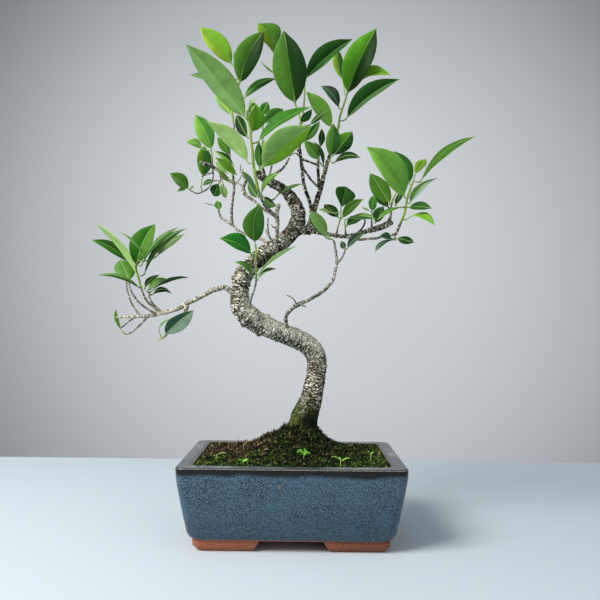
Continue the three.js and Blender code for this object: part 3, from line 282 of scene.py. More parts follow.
@dataclass(frozen=True)
class GlazedStoneware:
    """Stoneware dipped in a thick blue glaze and fired, bare at its underside and feet.

    The glaze breaks pale on the rim's sharp edge, pools nearly black under it, where its
    line sags unevenly, and is specked all over with crystals a millimetre wide. Bare clay
    shows where the pot was wiped, and crumbs of soil lie on the rim beside the moss.
    """

    name: str
    crystal: float = 1.1
    waver: float = 26.0
    sag: float = 8.0
    bare_below: float = 11.6
    pooled: tuple[float, float] = (68.5, 73.0)
    edge: tuple[float, float] = (75.9, 77.2)
    flaws: tuple[Point, ...] = ()

    def make(self) -> bpy.types.Material:
        """Builds the glaze over clay.

        Returns:
            The material.
        """
        work = Shader(self.name, IOR=1.5, Specular_IOR_Level=0.35)
        add = work.add
        place = add("TexCoord", out="Object")
        height = add("SeparateXYZ", {0: place}, "Z")
        waves = add("TexNoise", {"Vector": place, "Scale": per_metre(self.waver), "Detail": 1.5})
        askew = add("Mapping", {"Vector": place, "Rotation": (0.5, 0.6, 0.4)})
        size = {"Vector": askew, "Scale": per_metre(self.crystal), "Randomness": 0.85}
        dots = add("MapRange", {0: add("TexVoronoi", size), 1: 0.65, 2: 0.15})
        fine = add("TexNoise", {"Vector": place, "Scale": per_metre(1.1), "Detail": 2.0})
        speck = add("Mix", {0: 0.15, 2: dots, 3: fine})
        stops = ((0.1, "#22323e"), (0.4, "#3b5467"), (0.62, "#4a667a"), (0.9, "#6a8b9e"))
        body = add("ValToRGB", {0: speck}, stops=stops)
        cloud = add("MapRange", {0: waves, 1: 0.38, 2: 0.64, 4: 0.22}, **EASED)
        # The glaze is thinner and darker towards the foot.
        low = add("MapRange", {0: height, 1: 62 * MM, 2: 12 * MM, 4: 0.4}, **EASED)
        lifted = add("Math", {0: waves, 1: self.sag * MM, 2: height}, operation="MULTIPLY_ADD")
        first, last = ((z + self.sag / 2) * MM for z in self.pooled)
        pool = add("MapRange", {0: lifted, 1: first, 2: last}, **EASED)
        for share, over in ((cloud, "#4a6a7e"), (low, "#253440"), (pool, "#030405")):
            body = add("Mix", {0: share, 6: body, 7: over}, 2, **COLOURED)
        rim = add("MapRange", {0: height, 1: self.edge[0] * MM, 2: self.edge[1] * MM})
        stops = (
            (0.0, "#080a0c"), (0.28, "#121214"), (0.45, "#a5978c"), (0.62, "#9a8d84"),
            (0.78, "#1b2025"), (1.0, "#46535e"),
        )  # fmt: skip
        lip = add("ValToRGB", {0: rim}, stops=stops)
        broken = add("MapRange", {0: fine, 1: 0.35, 2: 0.6, 3: 0.35}, **EASED)
        lip = add("Mix", {0: broken, 6: "#1d2025", 7: lip}, 2, **COLOURED)
        pits = add("TexVoronoi", {"Vector": place, "Scale": per_metre(2.6)}, "Distance")
        pitted = add("MapRange", {0: pits, 1: 0.32, 2: 0.12, 4: 0.85}, **EASED)
        stops = ((0.38, "#28313a"), (0.5, "#47525c"), (0.62, "#6e7175"))
        top = add("ValToRGB", {0: waves}, stops=stops)
        outer = add("Attribute", out="Fac", attribute_name="outer")
        dirt = add("Math", {0: fine, 1: outer}, operation="SUBTRACT")
        dirt = add("MapRange", {0: dirt, 1: 0.72, 2: 0.95}, **EASED)
        for share, over in ((pitted, "#2c2f33"), (dirt, "#2b231b"), (outer, lip)):
            top = add("Mix", {0: share, 6: top, 7: over}, 2, **COLOURED)
        flat = add("MapRange", {0: height, 1: 75 * MM, 2: 75.3 * MM}, **EASED)
        body = add("Mix", {0: flat, 6: body, 7: top}, 2, **COLOURED)
        for flaw in self.flaws:
            at = Vector(flaw) * MM
            away = add("VectorMath", {0: place, 1: at}, "Value", operation="DISTANCE")
            spot = add("MapRange", {0: away, 1: 2.2 * MM, 2: 0.8 * MM}, **EASED)
            body = add("Mix", {0: spot, 6: body, 7: "#7d6a58"}, 2, **COLOURED)
        grit = add("TexNoise", {"Vector": place, "Scale": per_metre(1.2), "Detail": 5.0})
        stops = ((0.3, "#7c4534"), (0.5, "#9a5c45"), (0.75, "#b87c60"))
        clay = add("ValToRGB", {0: grit}, stops=stops)
        # Painted shade: the clay is darker towards the right end, the foot away from the light.
        end = add("SeparateXYZ", {0: place}, "X")
        end = add("MapRange", {0: end, 1: 20 * MM, 2: 80 * MM, 4: 0.42}, **EASED)
        clay = add("Mix", {0: end, 6: clay, 7: "#3f2a20"}, 2, **COLOURED)
        edge = add("Math", {0: waves, 1: 1.6 * MM, 2: height}, operation="MULTIPLY_ADD")
        bare = [(self.bare_below + rise) * MM for rise in (0.6, 1.0)]
        glazed = add("MapRange", {0: edge, 1: bare[0], 2: bare[1]}, **EASED)
        body = add("Mix", {0: glazed, 6: clay, 7: body}, 2, **COLOURED)
        rough = add("MapRange", {0: glazed, 3: 0.88, 4: 0.25})
        bump = add("Bump", {"Height": grit, "Distance": 0.12 * MM})
        return work.finish(Base_Color=body, Roughness=rough, Normal=bump)


@dataclass(frozen=True)
class MouldedMesh:
    """Black polypropylene drainage mesh, moulded, with a faint matt grain."""

    name: str

    def make(self) -> bpy.types.Material:
        """Builds the plastic.

        Returns:
            The material.
        """
        work = Shader(self.name, IOR=1.49, Roughness=0.55)
        place = work.add("TexCoord", out="Object")
        grain = work.add("TexNoise", {"Vector": place, "Scale": per_metre(0.8), "Detail": 3.0})
        colour = work.add("ValToRGB", {0: grain}, stops=((0.3, "#1d1f1e"), (0.7, "#2f322f")))
        bump = work.add("Bump", {"Height": grain, "Distance": 0.05 * MM})
        return work.finish(Base_Color=colour, Normal=bump)


@dataclass(frozen=True)
class PottingSoil:
    """Damp bonsai soil: crumbs of clay and bark two or three millimetres wide."""

    name: str
    crumb: float = 2.6

    def make(self) -> bpy.types.Material:
        """Builds the crumbs.

        Returns:
            The material.
        """
        work = Shader(self.name, IOR=1.4, Roughness=0.95)
        place = work.add("TexCoord", out="Object")
        size = {"Vector": place, "Scale": per_metre(self.crumb)}
        tone = work.add("SeparateColor", {0: work.add("TexVoronoi", size, "Color")})
        stops = ((0.1, "#231a11"), (0.5, "#3f2f20"), (0.9, "#66513a"))
        colour = work.add("ValToRGB", {0: tone}, stops=stops)
        low = work.add("Math", {0: 1.0, 1: work.add("TexVoronoi", size)}, operation="SUBTRACT")
        bump = work.add("Bump", {"Height": low, "Distance": 0.8 * MM})
        return work.finish(Base_Color=colour, Normal=bump)


@dataclass(frozen=True)
class LivingMoss:
    """Cushion moss: fresh green in the open, nearly black in painted shade near the trunk, brown where
    dry.

    A strand's tip is brighter than its foot: partly the moss's own paler tips, partly painted
    light at the tip and painted shade at the foot and on the bed below, with each strand's
    brightness drawn at random. Patches are about a centimetre wide, and strands differ from
    each other within a millimetre or two.
    """

    name: str
    # The centre of the painted shade, near the trunk.
    trunk: Point = (0.0, 0.0, 0.0)
    dry: Point = (0.0, 0.0, 0.0)
    patch: float = 12.0

    def make(self) -> bpy.types.Material:
        """Builds the moss.

        Returns:
            The material.
        """
        work = Shader(self.name, IOR=1.4, Roughness=0.85, Specular_IOR_Level=0.3)
        add = work.add
        place = add("TexCoord", out="Object")
        size = {"Vector": place, "Detail": 4.0, "Roughness": 0.7}
        patches = add("TexNoise", {**size, "Scale": per_metre(self.patch)})
        clump = add("TexNoise", {"Vector": place, "Scale": per_metre(4.2), "Detail": 2.0})
        strand = add("TexNoise", {"Vector": place, "Scale": per_metre(1.2), "Detail": 1.0})
        tone = add("Mix", {0: 0.45, 2: strand, 3: clump})
        stops = ((0.4, "#0a1205"), (0.48, "#2c4a15"), (0.55, "#5a8528"), (0.63, "#b3cf5c"))
        fresh = add("ValToRGB", {0: tone}, stops=stops)
        stops = ((0.42, "#040703"), (0.5, "#15240c"), (0.57, "#37521d"), (0.65, "#8b9a4a"))
        deep = add("ValToRGB", {0: tone}, stops=stops)
        stops = ((0.4, "#0a0705"), (0.5, "#3c2f20"), (0.57, "#7d6847"), (0.66, "#c7b48c"))
        dead = add("ValToRGB", {0: tone}, stops=stops)
        # Painted shade: the moss is nearly black near the trunk, under the tree, and lit farther from
        # it; one side of the mound has dried.
        at = {"trunk": Vector(self.trunk) * MM, "dry": Vector(self.dry) * MM}
        away = add("VectorMath", {0: place, 1: at["trunk"]}, "Value", operation="DISTANCE")
        away = add("Math", {0: patches, 1: 0.09, 2: away}, operation="MULTIPLY_ADD")
        lit = add("MapRange", {0: away, 1: 0.086, 2: 0.13}, **EASED)
        away = add("VectorMath", {0: place, 1: at["dry"]}, "Value", operation="DISTANCE")
        away = add("Math", {0: patches, 1: 0.11, 2: away}, operation="MULTIPLY_ADD")
        dried = add("MapRange", {0: away, 1: 0.115, 2: 0.085}, **EASED)
        shaded = add("MapRange", {0: patches, 1: 0.5, 2: 0.6}, **EASED)
        bare = add("MapRange", {0: patches, 1: 0.44, 2: 0.37}, **EASED)
        bare = add("Math", {0: bare, 1: dried}, operation="MAXIMUM")
        straw = add("Attribute", out="Fac", attribute_name="straw")
        colour = deep
        for share, over in ((lit, fresh), (shaded, deep), (bare, dead), (straw, "#b3a27c")):
            colour = add("Mix", {0: share, 6: colour, 7: over}, 2, **COLOURED)
        # Painted light and shade: the tip value darkens each strand's foot and the bed below, and
        # brightens its tip.
        tip = add("Attribute", out="Fac", attribute_name="tip")
        shade = add("MapRange", {0: tip, 3: 0.03, 4: 1.9}, clamp=False)
        colour = add("Mix", {0: 1.0, 6: colour, 7: shade}, 2, **TIMES)
        bump = add("Bump", {"Height": strand, "Distance": 0.6 * MM})
        return work.finish(Base_Color=colour, Normal=bump)


@dataclass(frozen=True)
class FigBark:
    """Bark of an old fig: pale flakes and wrinkles across the stem, parted by dark cracks.

    The pattern follows the stem by its grain, in millimetres round and along it. Attributes
    say where it is sunken, where its cracks widen as painted shade, worn smooth, dark, both
    old bark and painted shade on the side away from the light, green with moss, and stained.
    """

    name: str
    flake: float = 1.9
    squeeze: Point = (0.4, 0.4, 1.2)

    def make(self) -> bpy.types.Material:
        """Builds the bark.

        Returns:
            The material.
        """
        work = Shader(self.name, IOR=1.45, Roughness=0.92, Specular_IOR_Level=0.3)
        add = work.add
        grain = add("Attribute", out="Vector", attribute_name="grain")
        marks = {
            name: add("Attribute", out="Fac", attribute_name=name)
            for name in ("sunken", "worn", "dark", "green")
        }
        bend = add("TexNoise", {"Vector": grain, "Scale": 0.45, "Detail": 3.0}, "Color")
        bent = {0: bend, 1: (2.6, 2.6, 2.6), 2: grain}
        bent = add("VectorMath", bent, operation="MULTIPLY_ADD")
        bent = add("VectorMath", {0: bent, 1: self.squeeze}, operation="MULTIPLY")
        size = {"Vector": bent, "Scale": 1 / self.flake}
        own = add("SeparateColor", {0: add("TexVoronoi", size, "Color")})
        gaps = add("TexVoronoi", size, feature="DISTANCE_TO_EDGE")
        fine = add("TexNoise", {"Vector": grain, "Scale": 1.1, "Detail": 4.0, "Roughness": 0.6})
        broad = add("TexNoise", {"Vector": grain, "Scale": 0.09, "Detail": 3.0})
        size = {"Vector": bent, "Scale": 0.62, "Detail": 2.5, "Roughness": 0.6}
        streak = add("TexNoise", size)
        tone = add("Mix", {0: 0.55, 2: own, 3: streak})
        stops = ((0.24, "#38331f"), (0.36, "#948f72"), (0.46, "#dddbc4"), (0.66, "#fbf9ec"))
        colour = add("ValToRGB", {0: tone}, stops=stops)
        stops = ((0.29, "#0e0c08"), (0.43, "#38321f"), (0.55, "#878164"), (0.7, "#eae7d5"))
        dark = add("ValToRGB", {0: tone}, stops=stops)
        stops = ((0.31, "#57533c"), (0.38, "#d3d0b2"), (0.45, "#fffce8"))
        calm = add("ValToRGB", {0: streak}, stops=stops)
        calmed = add("Math", {0: marks["worn"], 1: 0.85}, operation="MULTIPLY")
        brown = add("Math", {0: marks["worn"], 1: -0.2, 2: broad}, operation="MULTIPLY_ADD")
        brown = add("MapRange", {0: brown, 1: 0.48, 2: 0.66, 4: 0.55}, **EASED)
        # Lichen and scars dissolve at their edges into flecks.
        spread = add("TexNoise", {"Vector": bent, "Scale": 1.1, "Detail": 2.0})
        spread = add("MapRange", {0: spread, 1: 0.3, 2: 0.7})
        cover = add("Attribute", out="Alpha", attribute_name="tint")
        stain = add("Attribute", out="Color", attribute_name="tint")
        spare = add("Math", {0: spread, 1: cover}, operation="ADD")
        flecks = add("MapRange", {0: spare, 1: 0.95, 2: 1.1}, **EASED)
        # Cracks are wider where the bark isn't worn, and in hollows, where this is painted shade.
        reach = add("MapRange", {0: marks["worn"], 3: 0.085, 4: 0.022})
        reach = add("Math", {0: marks["sunken"], 1: 0.22, 2: reach}, operation="MULTIPLY_ADD")
        crack = add("Math", {0: gaps, 1: reach}, operation="DIVIDE")
        crack = add("MapRange", {0: crack, 1: 1.0, 2: 0.6, 4: 0.96}, **EASED)
        spare = add("Math", {0: spread, 1: marks["green"]}, operation="ADD")
        mossy = add("MapRange", {0: spare, 1: 0.8, 2: 1.0}, **EASED)
        stops = ((0.4, "#040602"), (0.48, "#26340f"), (0.56, "#5f7029"), (0.68, "#c3c583"))
        moss = add("ValToRGB", {0: fine}, stops=stops)
        # Where the bark is dark, which is partly painted shade, the moss is the shady, nearly black
        # kind.
        stops = ((0.44, "#020301"), (0.58, "#0f1a08"), (0.7, "#334719"))
        shady = add("ValToRGB", {0: fine}, stops=stops)
        moss = add("Mix", {0: marks["dark"], 6: moss, 7: shady}, 2, **COLOURED)
        layers = (
            (calmed, calm), (brown, "#6a6247"), (marks["dark"], dark),
            (flecks, stain), (crack, "#17130d"), (mossy, moss),
        )  # fmt: skip
        for share, over in layers:
            colour = add("Mix", {0: share, 6: colour, 7: over}, 2, **COLOURED)
        flake = add("MapRange", {0: gaps, 2: 0.25}, **EASED)
        relief = add("Math", {0: fine, 1: flake}, operation="ADD")
        bump = add("Bump", {"Height": relief, "Distance": 0.8 * MM})
        return work.finish(Base_Color=colour, Normal=bump)


@dataclass(frozen=True)
class FigLeaf:
    """A fig's leaf: waxed and satin above, paler and matt below.

    The midrib is pale, the edge thin and light, and side veins stand about 3 mm apart. Each
    half of a leaf has its own tone, held by the blade, which is its green with painted light
    and shade, and old leaves have a few brown specks.
    """

    name: str
    vein_pitch: float = 3.1
    slant: float = 0.5
    speck: float = 7.5

    def make(self) -> bpy.types.Material:
        """Builds the leaf.

        Returns:
            The material.
        """
        work = Shader(self.name, IOR=1.42, Specular_IOR_Level=0.1)
        add = work.add
        along, aside, wide, beneath = (
            add("Attribute", out="Fac", attribute_name=name)
            for name in ("along", "aside", "wide", "beneath")
        )
        tint = add("Attribute", out="Color", attribute_name="tint")
        place = add("TexCoord", out="Object")
        blotch = add("TexNoise", {"Vector": place, "Scale": per_metre(7.0), "Detail": 4.0})
        gain = add("MapRange", {0: blotch, 1: 0.3, 2: 0.7, 3: 0.86, 4: 1.16})
        colour = add("Mix", {0: 1.0, 6: tint, 7: gain}, 2, **TIMES)
        slid = add("Math", {0: aside, 1: -self.slant, 2: along}, operation="MULTIPLY_ADD")
        turn = add("Math", {0: slid, 1: 2 * math.pi / self.vein_pitch}, operation="MULTIPLY")
        wave = add("Math", {0: turn}, operation="COSINE")
        vein = add("MapRange", {0: wave, 1: 0.55, 2: 1.0}, **EASED)
        light = add("Mix", {0: 0.42, 6: colour, 7: "#bfe08a"}, 2, **COLOURED)
        faint = add("Math", {0: vein, 1: 0.035}, operation="MULTIPLY")
        inward = add("Math", {0: wide, 1: aside}, operation="SUBTRACT")
        edge = add("MapRange", {0: inward, 1: 0.5, 2: 0.15, 4: 0.5}, **EASED)
        rib = add("MapRange", {0: aside, 1: 0.62, 2: 0.3, 4: 0.85}, **EASED)
        dots = {"Vector": place, "Scale": per_metre(self.speck)}
        near = add("TexVoronoi", dots)
        rare = add("SeparateColor", {0: add("TexVoronoi", dots, "Color")})
        rare = add("MapRange", {0: rare, 1: 0.55, 2: 0.6, 4: 0.6}, **EASED)
        dot = add("MapRange", {0: near, 1: 0.11, 2: 0.05}, **EASED)
        dot = add("Math", {0: dot, 1: rare}, operation="MULTIPLY")
        for share, over in ((faint, light), (edge, light), (rib, light), (dot, "#4a4222")):
            colour = add("Mix", {0: share, 6: colour, 7: over}, 2, **COLOURED)
        rough = add("MapRange", {0: beneath, 3: 0.5, 4: 0.7})
        relief = add("Math", {0: vein, 1: 0.12, 2: blotch}, operation="MULTIPLY_ADD")
        bump = add("Bump", {"Height": relief, "Distance": 0.12 * MM})
        return work.finish(Base_Color=colour, Roughness=rough, Normal=bump)


@dataclass(frozen=True)
class GreenStem:
    """A young fig shoot: smooth yellow-green skin that turns to grey-brown bark at its foot."""

    name: str

    def make(self) -> bpy.types.Material:
        """Builds the stem's skin.

        Returns:
            The material.
        """
        work = Shader(self.name, IOR=1.45, Roughness=0.5, Specular_IOR_Level=0.3)
        add = work.add
        grain = add("Attribute", out="Vector", attribute_name="grain")
        fine = add("TexNoise", {"Vector": grain, "Scale": 0.8, "Detail": 3.0})
        stops = ((0.3, "#74903a"), (0.55, "#9cb552"), (0.8, "#c2d47c"))
        green = add("ValToRGB", {0: fine}, stops=stops)
        brown = add("ValToRGB", {0: fine}, stops=((0.3, "#4a4230"), (0.7, "#8c8468")))
        woody = add("Attribute", out="Fac", attribute_name="woody")
        colour = add("Mix", {0: woody, 6: green, 7: brown}, 2, **COLOURED)
        bump = add("Bump", {"Height": fine, "Distance": 0.15 * MM})
        return work.finish(Base_Color=colour, Normal=bump)


@dataclass(frozen=True)
class StagePaper:
    """Plain matt paper for the floor and the wall, with painted light round a place on it and painted
    shade away from it.
    """

    name: str
    light: str
    shade: str
    middle: Point = (0.0, 0.0, 0.0)
    reach: tuple[float, float] = (0.4, 1.6)

    def make(self) -> bpy.types.Material:
        """Builds the paper.

        Returns:
            The material.
        """
        work = Shader(self.name, Roughness=0.8, Specular_IOR_Level=0.1)
        add = work.add
        place = add("TexCoord", out="Object")
        away = add("VectorMath", {0: place, 1: self.middle}, "Value", operation="DISTANCE")
        share = add("MapRange", {0: away, 1: self.reach[0], 2: self.reach[1]}, **EASED)
        stops = ((0.0, self.light), (1.0, self.shade))
        return work.finish(Base_Color=add("ValToRGB", {0: share}, stops=stops))


# ---- work in hand
class Attribute(Enum):
    """The attributes that pieces carry for their materials."""

    GRAIN = "grain"
    TINT = "tint"
    ALONG = "along"
    ASIDE = "aside"
    WIDE = "wide"
    BENEATH = "beneath"
    SUNKEN = "sunken"
    WORN = "worn"
    DARK = "dark"
    GREEN = "green"
    WOODY = "woody"
    OUTER = "outer"
    TIP = "tip"
    STRAW = "straw"


# What a blade's, a shoot's and the trunk's vertices carry.
BLADE_MARKS = (Attribute.ALONG, Attribute.ASIDE, Attribute.WIDE, Attribute.BENEATH)
LEAFY = (Attribute.GRAIN, Attribute.TINT, *BLADE_MARKS)
BARKED = (
    Attribute.GRAIN, Attribute.SUNKEN, Attribute.WORN,
    Attribute.DARK, Attribute.GREEN, Attribute.TINT,
)  # fmt: skip


class Workpiece:
    """One piece of the object in the making, in millimetres."""

    def __init__(self, name: str, attributes: Iterable[Attribute]) -> None:
        """Starts an empty piece.

        Args:
            name: the finished object's name.
            attributes: the attributes that its vertices carry.
        """
        self.name = name
        self.bm = bmesh.new()
        for attribute in attributes:
            self.kind(attribute).new(attribute.value)

    def kind(self, attribute: Attribute) -> object:
        """The kind of layer that holds an attribute.

        Args:
            attribute: the attribute.

        Returns:
            The mesh's layers of that kind.
        """
        layers = self.bm.verts.layers
        kinds = {Attribute.GRAIN: layers.float_vector, Attribute.TINT: layers.float_color}
        return kinds.get(attribute, layers.float)

    def layer(self, attribute: Attribute) -> object:
        """The piece's own layer of an attribute, which a vertex is read by."""
        return self.kind(attribute)[attribute.value]

    def sheet(self, columns: int, rows: int) -> list[list[bmesh.types.BMVert]]:
        """Adds a grid of vertices, to be put in place.

        Args:
            columns: cells across.
            rows: cells along.

        Returns:
            The vertices, row by row.
        """
        made = bmesh.ops.create_grid(self.bm, x_segments=columns, y_segments=rows, size=1)
        verts = sorted(made["verts"], key=lambda v: (round(v.co.y, 5), round(v.co.x, 5)))
        width = columns + 1
        return [verts[k * width : (k + 1) * width] for k in range(rows + 1)]

    def close_tube(self, rows: list[list[bmesh.types.BMVert]]) -> None:
        """Welds a rolled sheet's seam and closes both of its ends.

        Args:
            rows: the sheet's vertices, whose first and last columns coincide.
        """
        seam = [row[k] for row in rows for k in (0, -1)]
        bmesh.ops.remove_doubles(self.bm, verts=seam, dist=1e-4)
        for row in (rows[0], rows[-1]):
            ring = [v for v in row if v.is_valid]
            edges = {e for v in ring for e in v.link_edges if e.is_boundary}
            bmesh.ops.holes_fill(self.bm, edges=list(edges), sides=0)

    def finish(
        self, materials: Sequence[bpy.types.Material], nodes: Sequence[str], slot: str
    ) -> bpy.types.Object:
        """Turns the work to a finished object in metres that stands for its CAD nodes.

        Args:
            materials: the piece's materials, in the order that its faces count them.
            nodes: the CAD nodes that it stands for.
            slot: not used.

        Returns:
            The object.
        """
        bmesh.ops.recalc_face_normals(self.bm, faces=self.bm.faces[:])
        bmesh.ops.transform(
            self.bm, matrix=Matrix.Scale(MM, 4), verts=self.bm.verts[:], space=Matrix()
        )
        for face in self.bm.faces:
            face.smooth = True
        mesh = to_mesh(self.name, self.bm)
        for material in materials:
            mesh.materials.append(material)
        piece = stand(self.name, mesh)
        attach(piece, "root")
        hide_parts(*nodes)
        LOG.info("%s: %d faces", self.name, len(mesh.polygons))
        return piece


# ---- routes
@dataclass(frozen=True)
class Station:
    """A place on a stem's route, with the stem's radius there."""

    at: Vector
    radius: float


class Route:
    """A smooth curve through stations, with a radius that runs evenly between them."""

    def __init__(self, stations: Sequence[Station]) -> None:
        """Keeps the stations.

        Args:
            stations: two or more of them.
        """
        self.stations = list(stations)

    def point(self, share: float) -> Vector:
        """The curve's point at a share of its stations, by centripetal Catmull-Rom.

        Args:
            share: 0 at the first station, 1 at the last.

        Returns:
            The point.
        """
        at = [station.at for station in self.stations]
        last = len(at) - 1
        index = min(int(share * last), last - 1)
        weight = share * last - index
        near, far = at[index], at[index + 1]
        before = at[index - 1] if index else near * 2 - far
        after = at[index + 2] if index + 2 <= last else far * 2 - near
        gaps = [math.sqrt((b - a).length) for a, b in ((before, near), (near, far), (far, after))]
        first, middle, final = (gap if gap > 1e-4 else 1.0 for gap in gaps)
        leave = (near - before) / first - (far - before) / (first + middle) + (far - near) / middle
        reach = (far - near) / middle - (after - near) / (middle + final) + (after - far) / final
        leave, reach = leave * middle, reach * middle
        square = (far - near) * 3 - leave * 2 - reach
        cube = (near - far) * 2 + leave + reach
        return near + leave * weight + square * weight**2 + cube * weight**3

    def radius(self, share: float) -> float:
        """The radius at a share of the stations.

        Args:
            share: 0 at the first station, 1 at the last.

        Returns:
            The radius in millimetres.
        """
        last = len(self.stations) - 1
        index = min(int(share * last), last - 1)
        weight = share * last - index
        return mix(self.stations[index].radius, self.stations[index + 1].radius, weight)

    def along(self, place: Vector) -> float:
        """How far along the route its nearest point to a place is, in millimetres.

        Args:
            place: the place.

        Returns:
            The distance from the route's start.
        """
        fine = 12 * (len(self.stations) - 1)
        points = [self.point(k / fine) for k in range(fine + 1)]
        nearest = min(range(fine + 1), key=lambda k: (points[k] - place).length)
        return sum((b - a).length for a, b in zip(points[:nearest], points[1 : nearest + 1]))

    def evenly(self, spacing: float) -> list[float]:
        """Shares of the route that lie about a spacing apart along it.

        Args:
            spacing: the distance in millimetres.

        Returns:
            The shares, from 0 to 1.
        """
        fine = 16 * (len(self.stations) - 1)
        points = [self.point(k / fine) for k in range(fine + 1)]
        lengths = [0.0]
        for a, b in zip(points, points[1:]):
            lengths.append(lengths[-1] + (b - a).length)
        count = max(2, round(lengths[-1] / spacing))
        shares, place = [], 0
        for k in range(count + 1):
            wanted = lengths[-1] * k / count
            while place < fine - 1 and lengths[place + 1] < wanted:
                place += 1
            gap = lengths[place + 1] - lengths[place] or 1.0
            shares.append(min(1.0, (place + (wanted - lengths[place]) / gap) / fine))
        return shares


@dataclass(frozen=True)
class Skin:
    """What a relief says about one place on a stem's surface."""

    swell: float = 1.0
    marks: dict[Attribute, float] = field(default_factory=dict)


@dataclass(frozen=True)
class Spot:
    """A spot on a stem: its point on the surface, and where it is round and along the stem.

    way points out from the stem's middle, and flat is the same spot on the stem drawn out
    straight, so that a pattern on it meets itself.
    """

    surface: Vector
    way: Vector
    flat: Vector
    angle: float
    along: float
    radius: float

    def drawn(self, across: float, along: float, shift: float = 0.0) -> Vector:
        """The flat spot scaled across and along the stem, for a pattern that is so drawn."""
        return Vector((self.flat.x * across, self.flat.y * across, self.flat.z * along + shift))


Relief = Callable[[Spot], Skin]


def sweep(
    work: Workpiece,
    route: Route,
    sides: int,
    spacing: float,
    relief: Relief,
    taper: tuple[float, float] = (1.0, 1.0),
) -> list[bmesh.types.BMVert]:
    """Adds a stem: a sheet rolled to a tube along a route, closed at both ends.

    Args:
        work: the piece that it is part of.
        route: where it goes.
        sides: cells round it.
        spacing: distance between its rings in millimetres.
        relief: gives the skin at each spot.
        taper: how far each end is drawn in over its last ring.

    Returns:
        The stem's vertices.
    """
    shares = route.evenly(spacing)
    rows = work.sheet(sides, len(shares) - 1)
    grain = work.layer(Attribute.GRAIN)
    points = [route.point(share) for share in shares]
    across = Vector((1, 0, 0))
    length = 0.0
    for k, (share, row) in enumerate(zip(shares, rows)):
        tangent = (points[min(k + 1, len(points) - 1)] - points[max(k - 1, 0)]).normalized()
        if k == 0 and abs(tangent.x) > 0.9:
            across = Vector((0, 0, 1))
        across = (across - tangent * across.dot(tangent)).normalized()
        beside = tangent.cross(across)
        if k:
            length += (points[k] - points[k - 1]).length
        radius = route.radius(share)
        drawn = taper[0] if k == 0 else taper[1] if k == len(points) - 1 else 1.0
        for i, vert in enumerate(row):
            angle = 2 * math.pi * (i % sides) / sides
            way = across * math.cos(angle) + beside * math.sin(angle)
            flat = Vector((radius * math.cos(angle), radius * math.sin(angle), length))
            skin = relief(Spot(points[k] + way * radius, way, flat, angle, length, radius))
            vert.co = points[k] + way * (radius * skin.swell * drawn)
            vert[grain] = flat
            for attribute, value in skin.marks.items():
                vert[work.layer(attribute)] = value
    verts = [v for row in rows for v in row]
    work.close_tube(rows)
    return [v for v in verts if v.is_valid]


def plain(_spot: Spot) -> Skin:
    """A smooth round skin."""
    return Skin()


def both_sides(columns: Sequence[float]) -> list[tuple[float, int]]:
    """The columns of a rolled blade: over its top (1), back below (-1), and closed."""
    ring = [(a, 1) for a in columns] + [(a, -1) for a in columns[-2:0:-1]]
    return [*ring, ring[0]]


# ---- places in the front view
# Places are (across, down, depth, thickness).
TRUNK_PLACES: tuple[Place, ...] = (
    (304, 420, 5, 28), (307, 410, 6, 25), (311, 400, 7, 22.5), (313.5, 388, 8, 20.5),
    (316, 375, 11, 20), (317, 362, 12, 20), (314, 351.5, 11, 20.5), (306, 343.5, 9, 20.5),
    (296, 338.3, 6, 20), (284, 333.7, 2, 19.5), (271, 328.5, -2, 20.5), (259, 323, -5, 21),
    (248.5, 316, -8, 21.5), (241.5, 308, -10, 21), (240, 299, -11, 19),
    (240.6, 289, -12, 17.3), (241.8, 280, -12, 18.6), (246, 271.5, -11, 18.6),
    (252, 264.5, -9, 17.8), (259, 258, -5, 17.2), (267, 252, -1, 16.8), (276, 246.5, 3, 16.4),
    (284, 240.5, 7, 16), (290.5, 234, 10, 15.6), (295.5, 226.5, 13, 15.6),
    (298.5, 218, 15, 15.2), (298, 210.5, 16, 14.6), (295, 204, 17, 13.6),
    (291, 197.5, 17, 12.4), (285.5, 191, 16, 10.8), (278.5, 186.3, 14, 10),
    (270, 181.8, 11, 9.4), (262, 177, 9, 8.4), (256, 171.5, 8, 7),
)

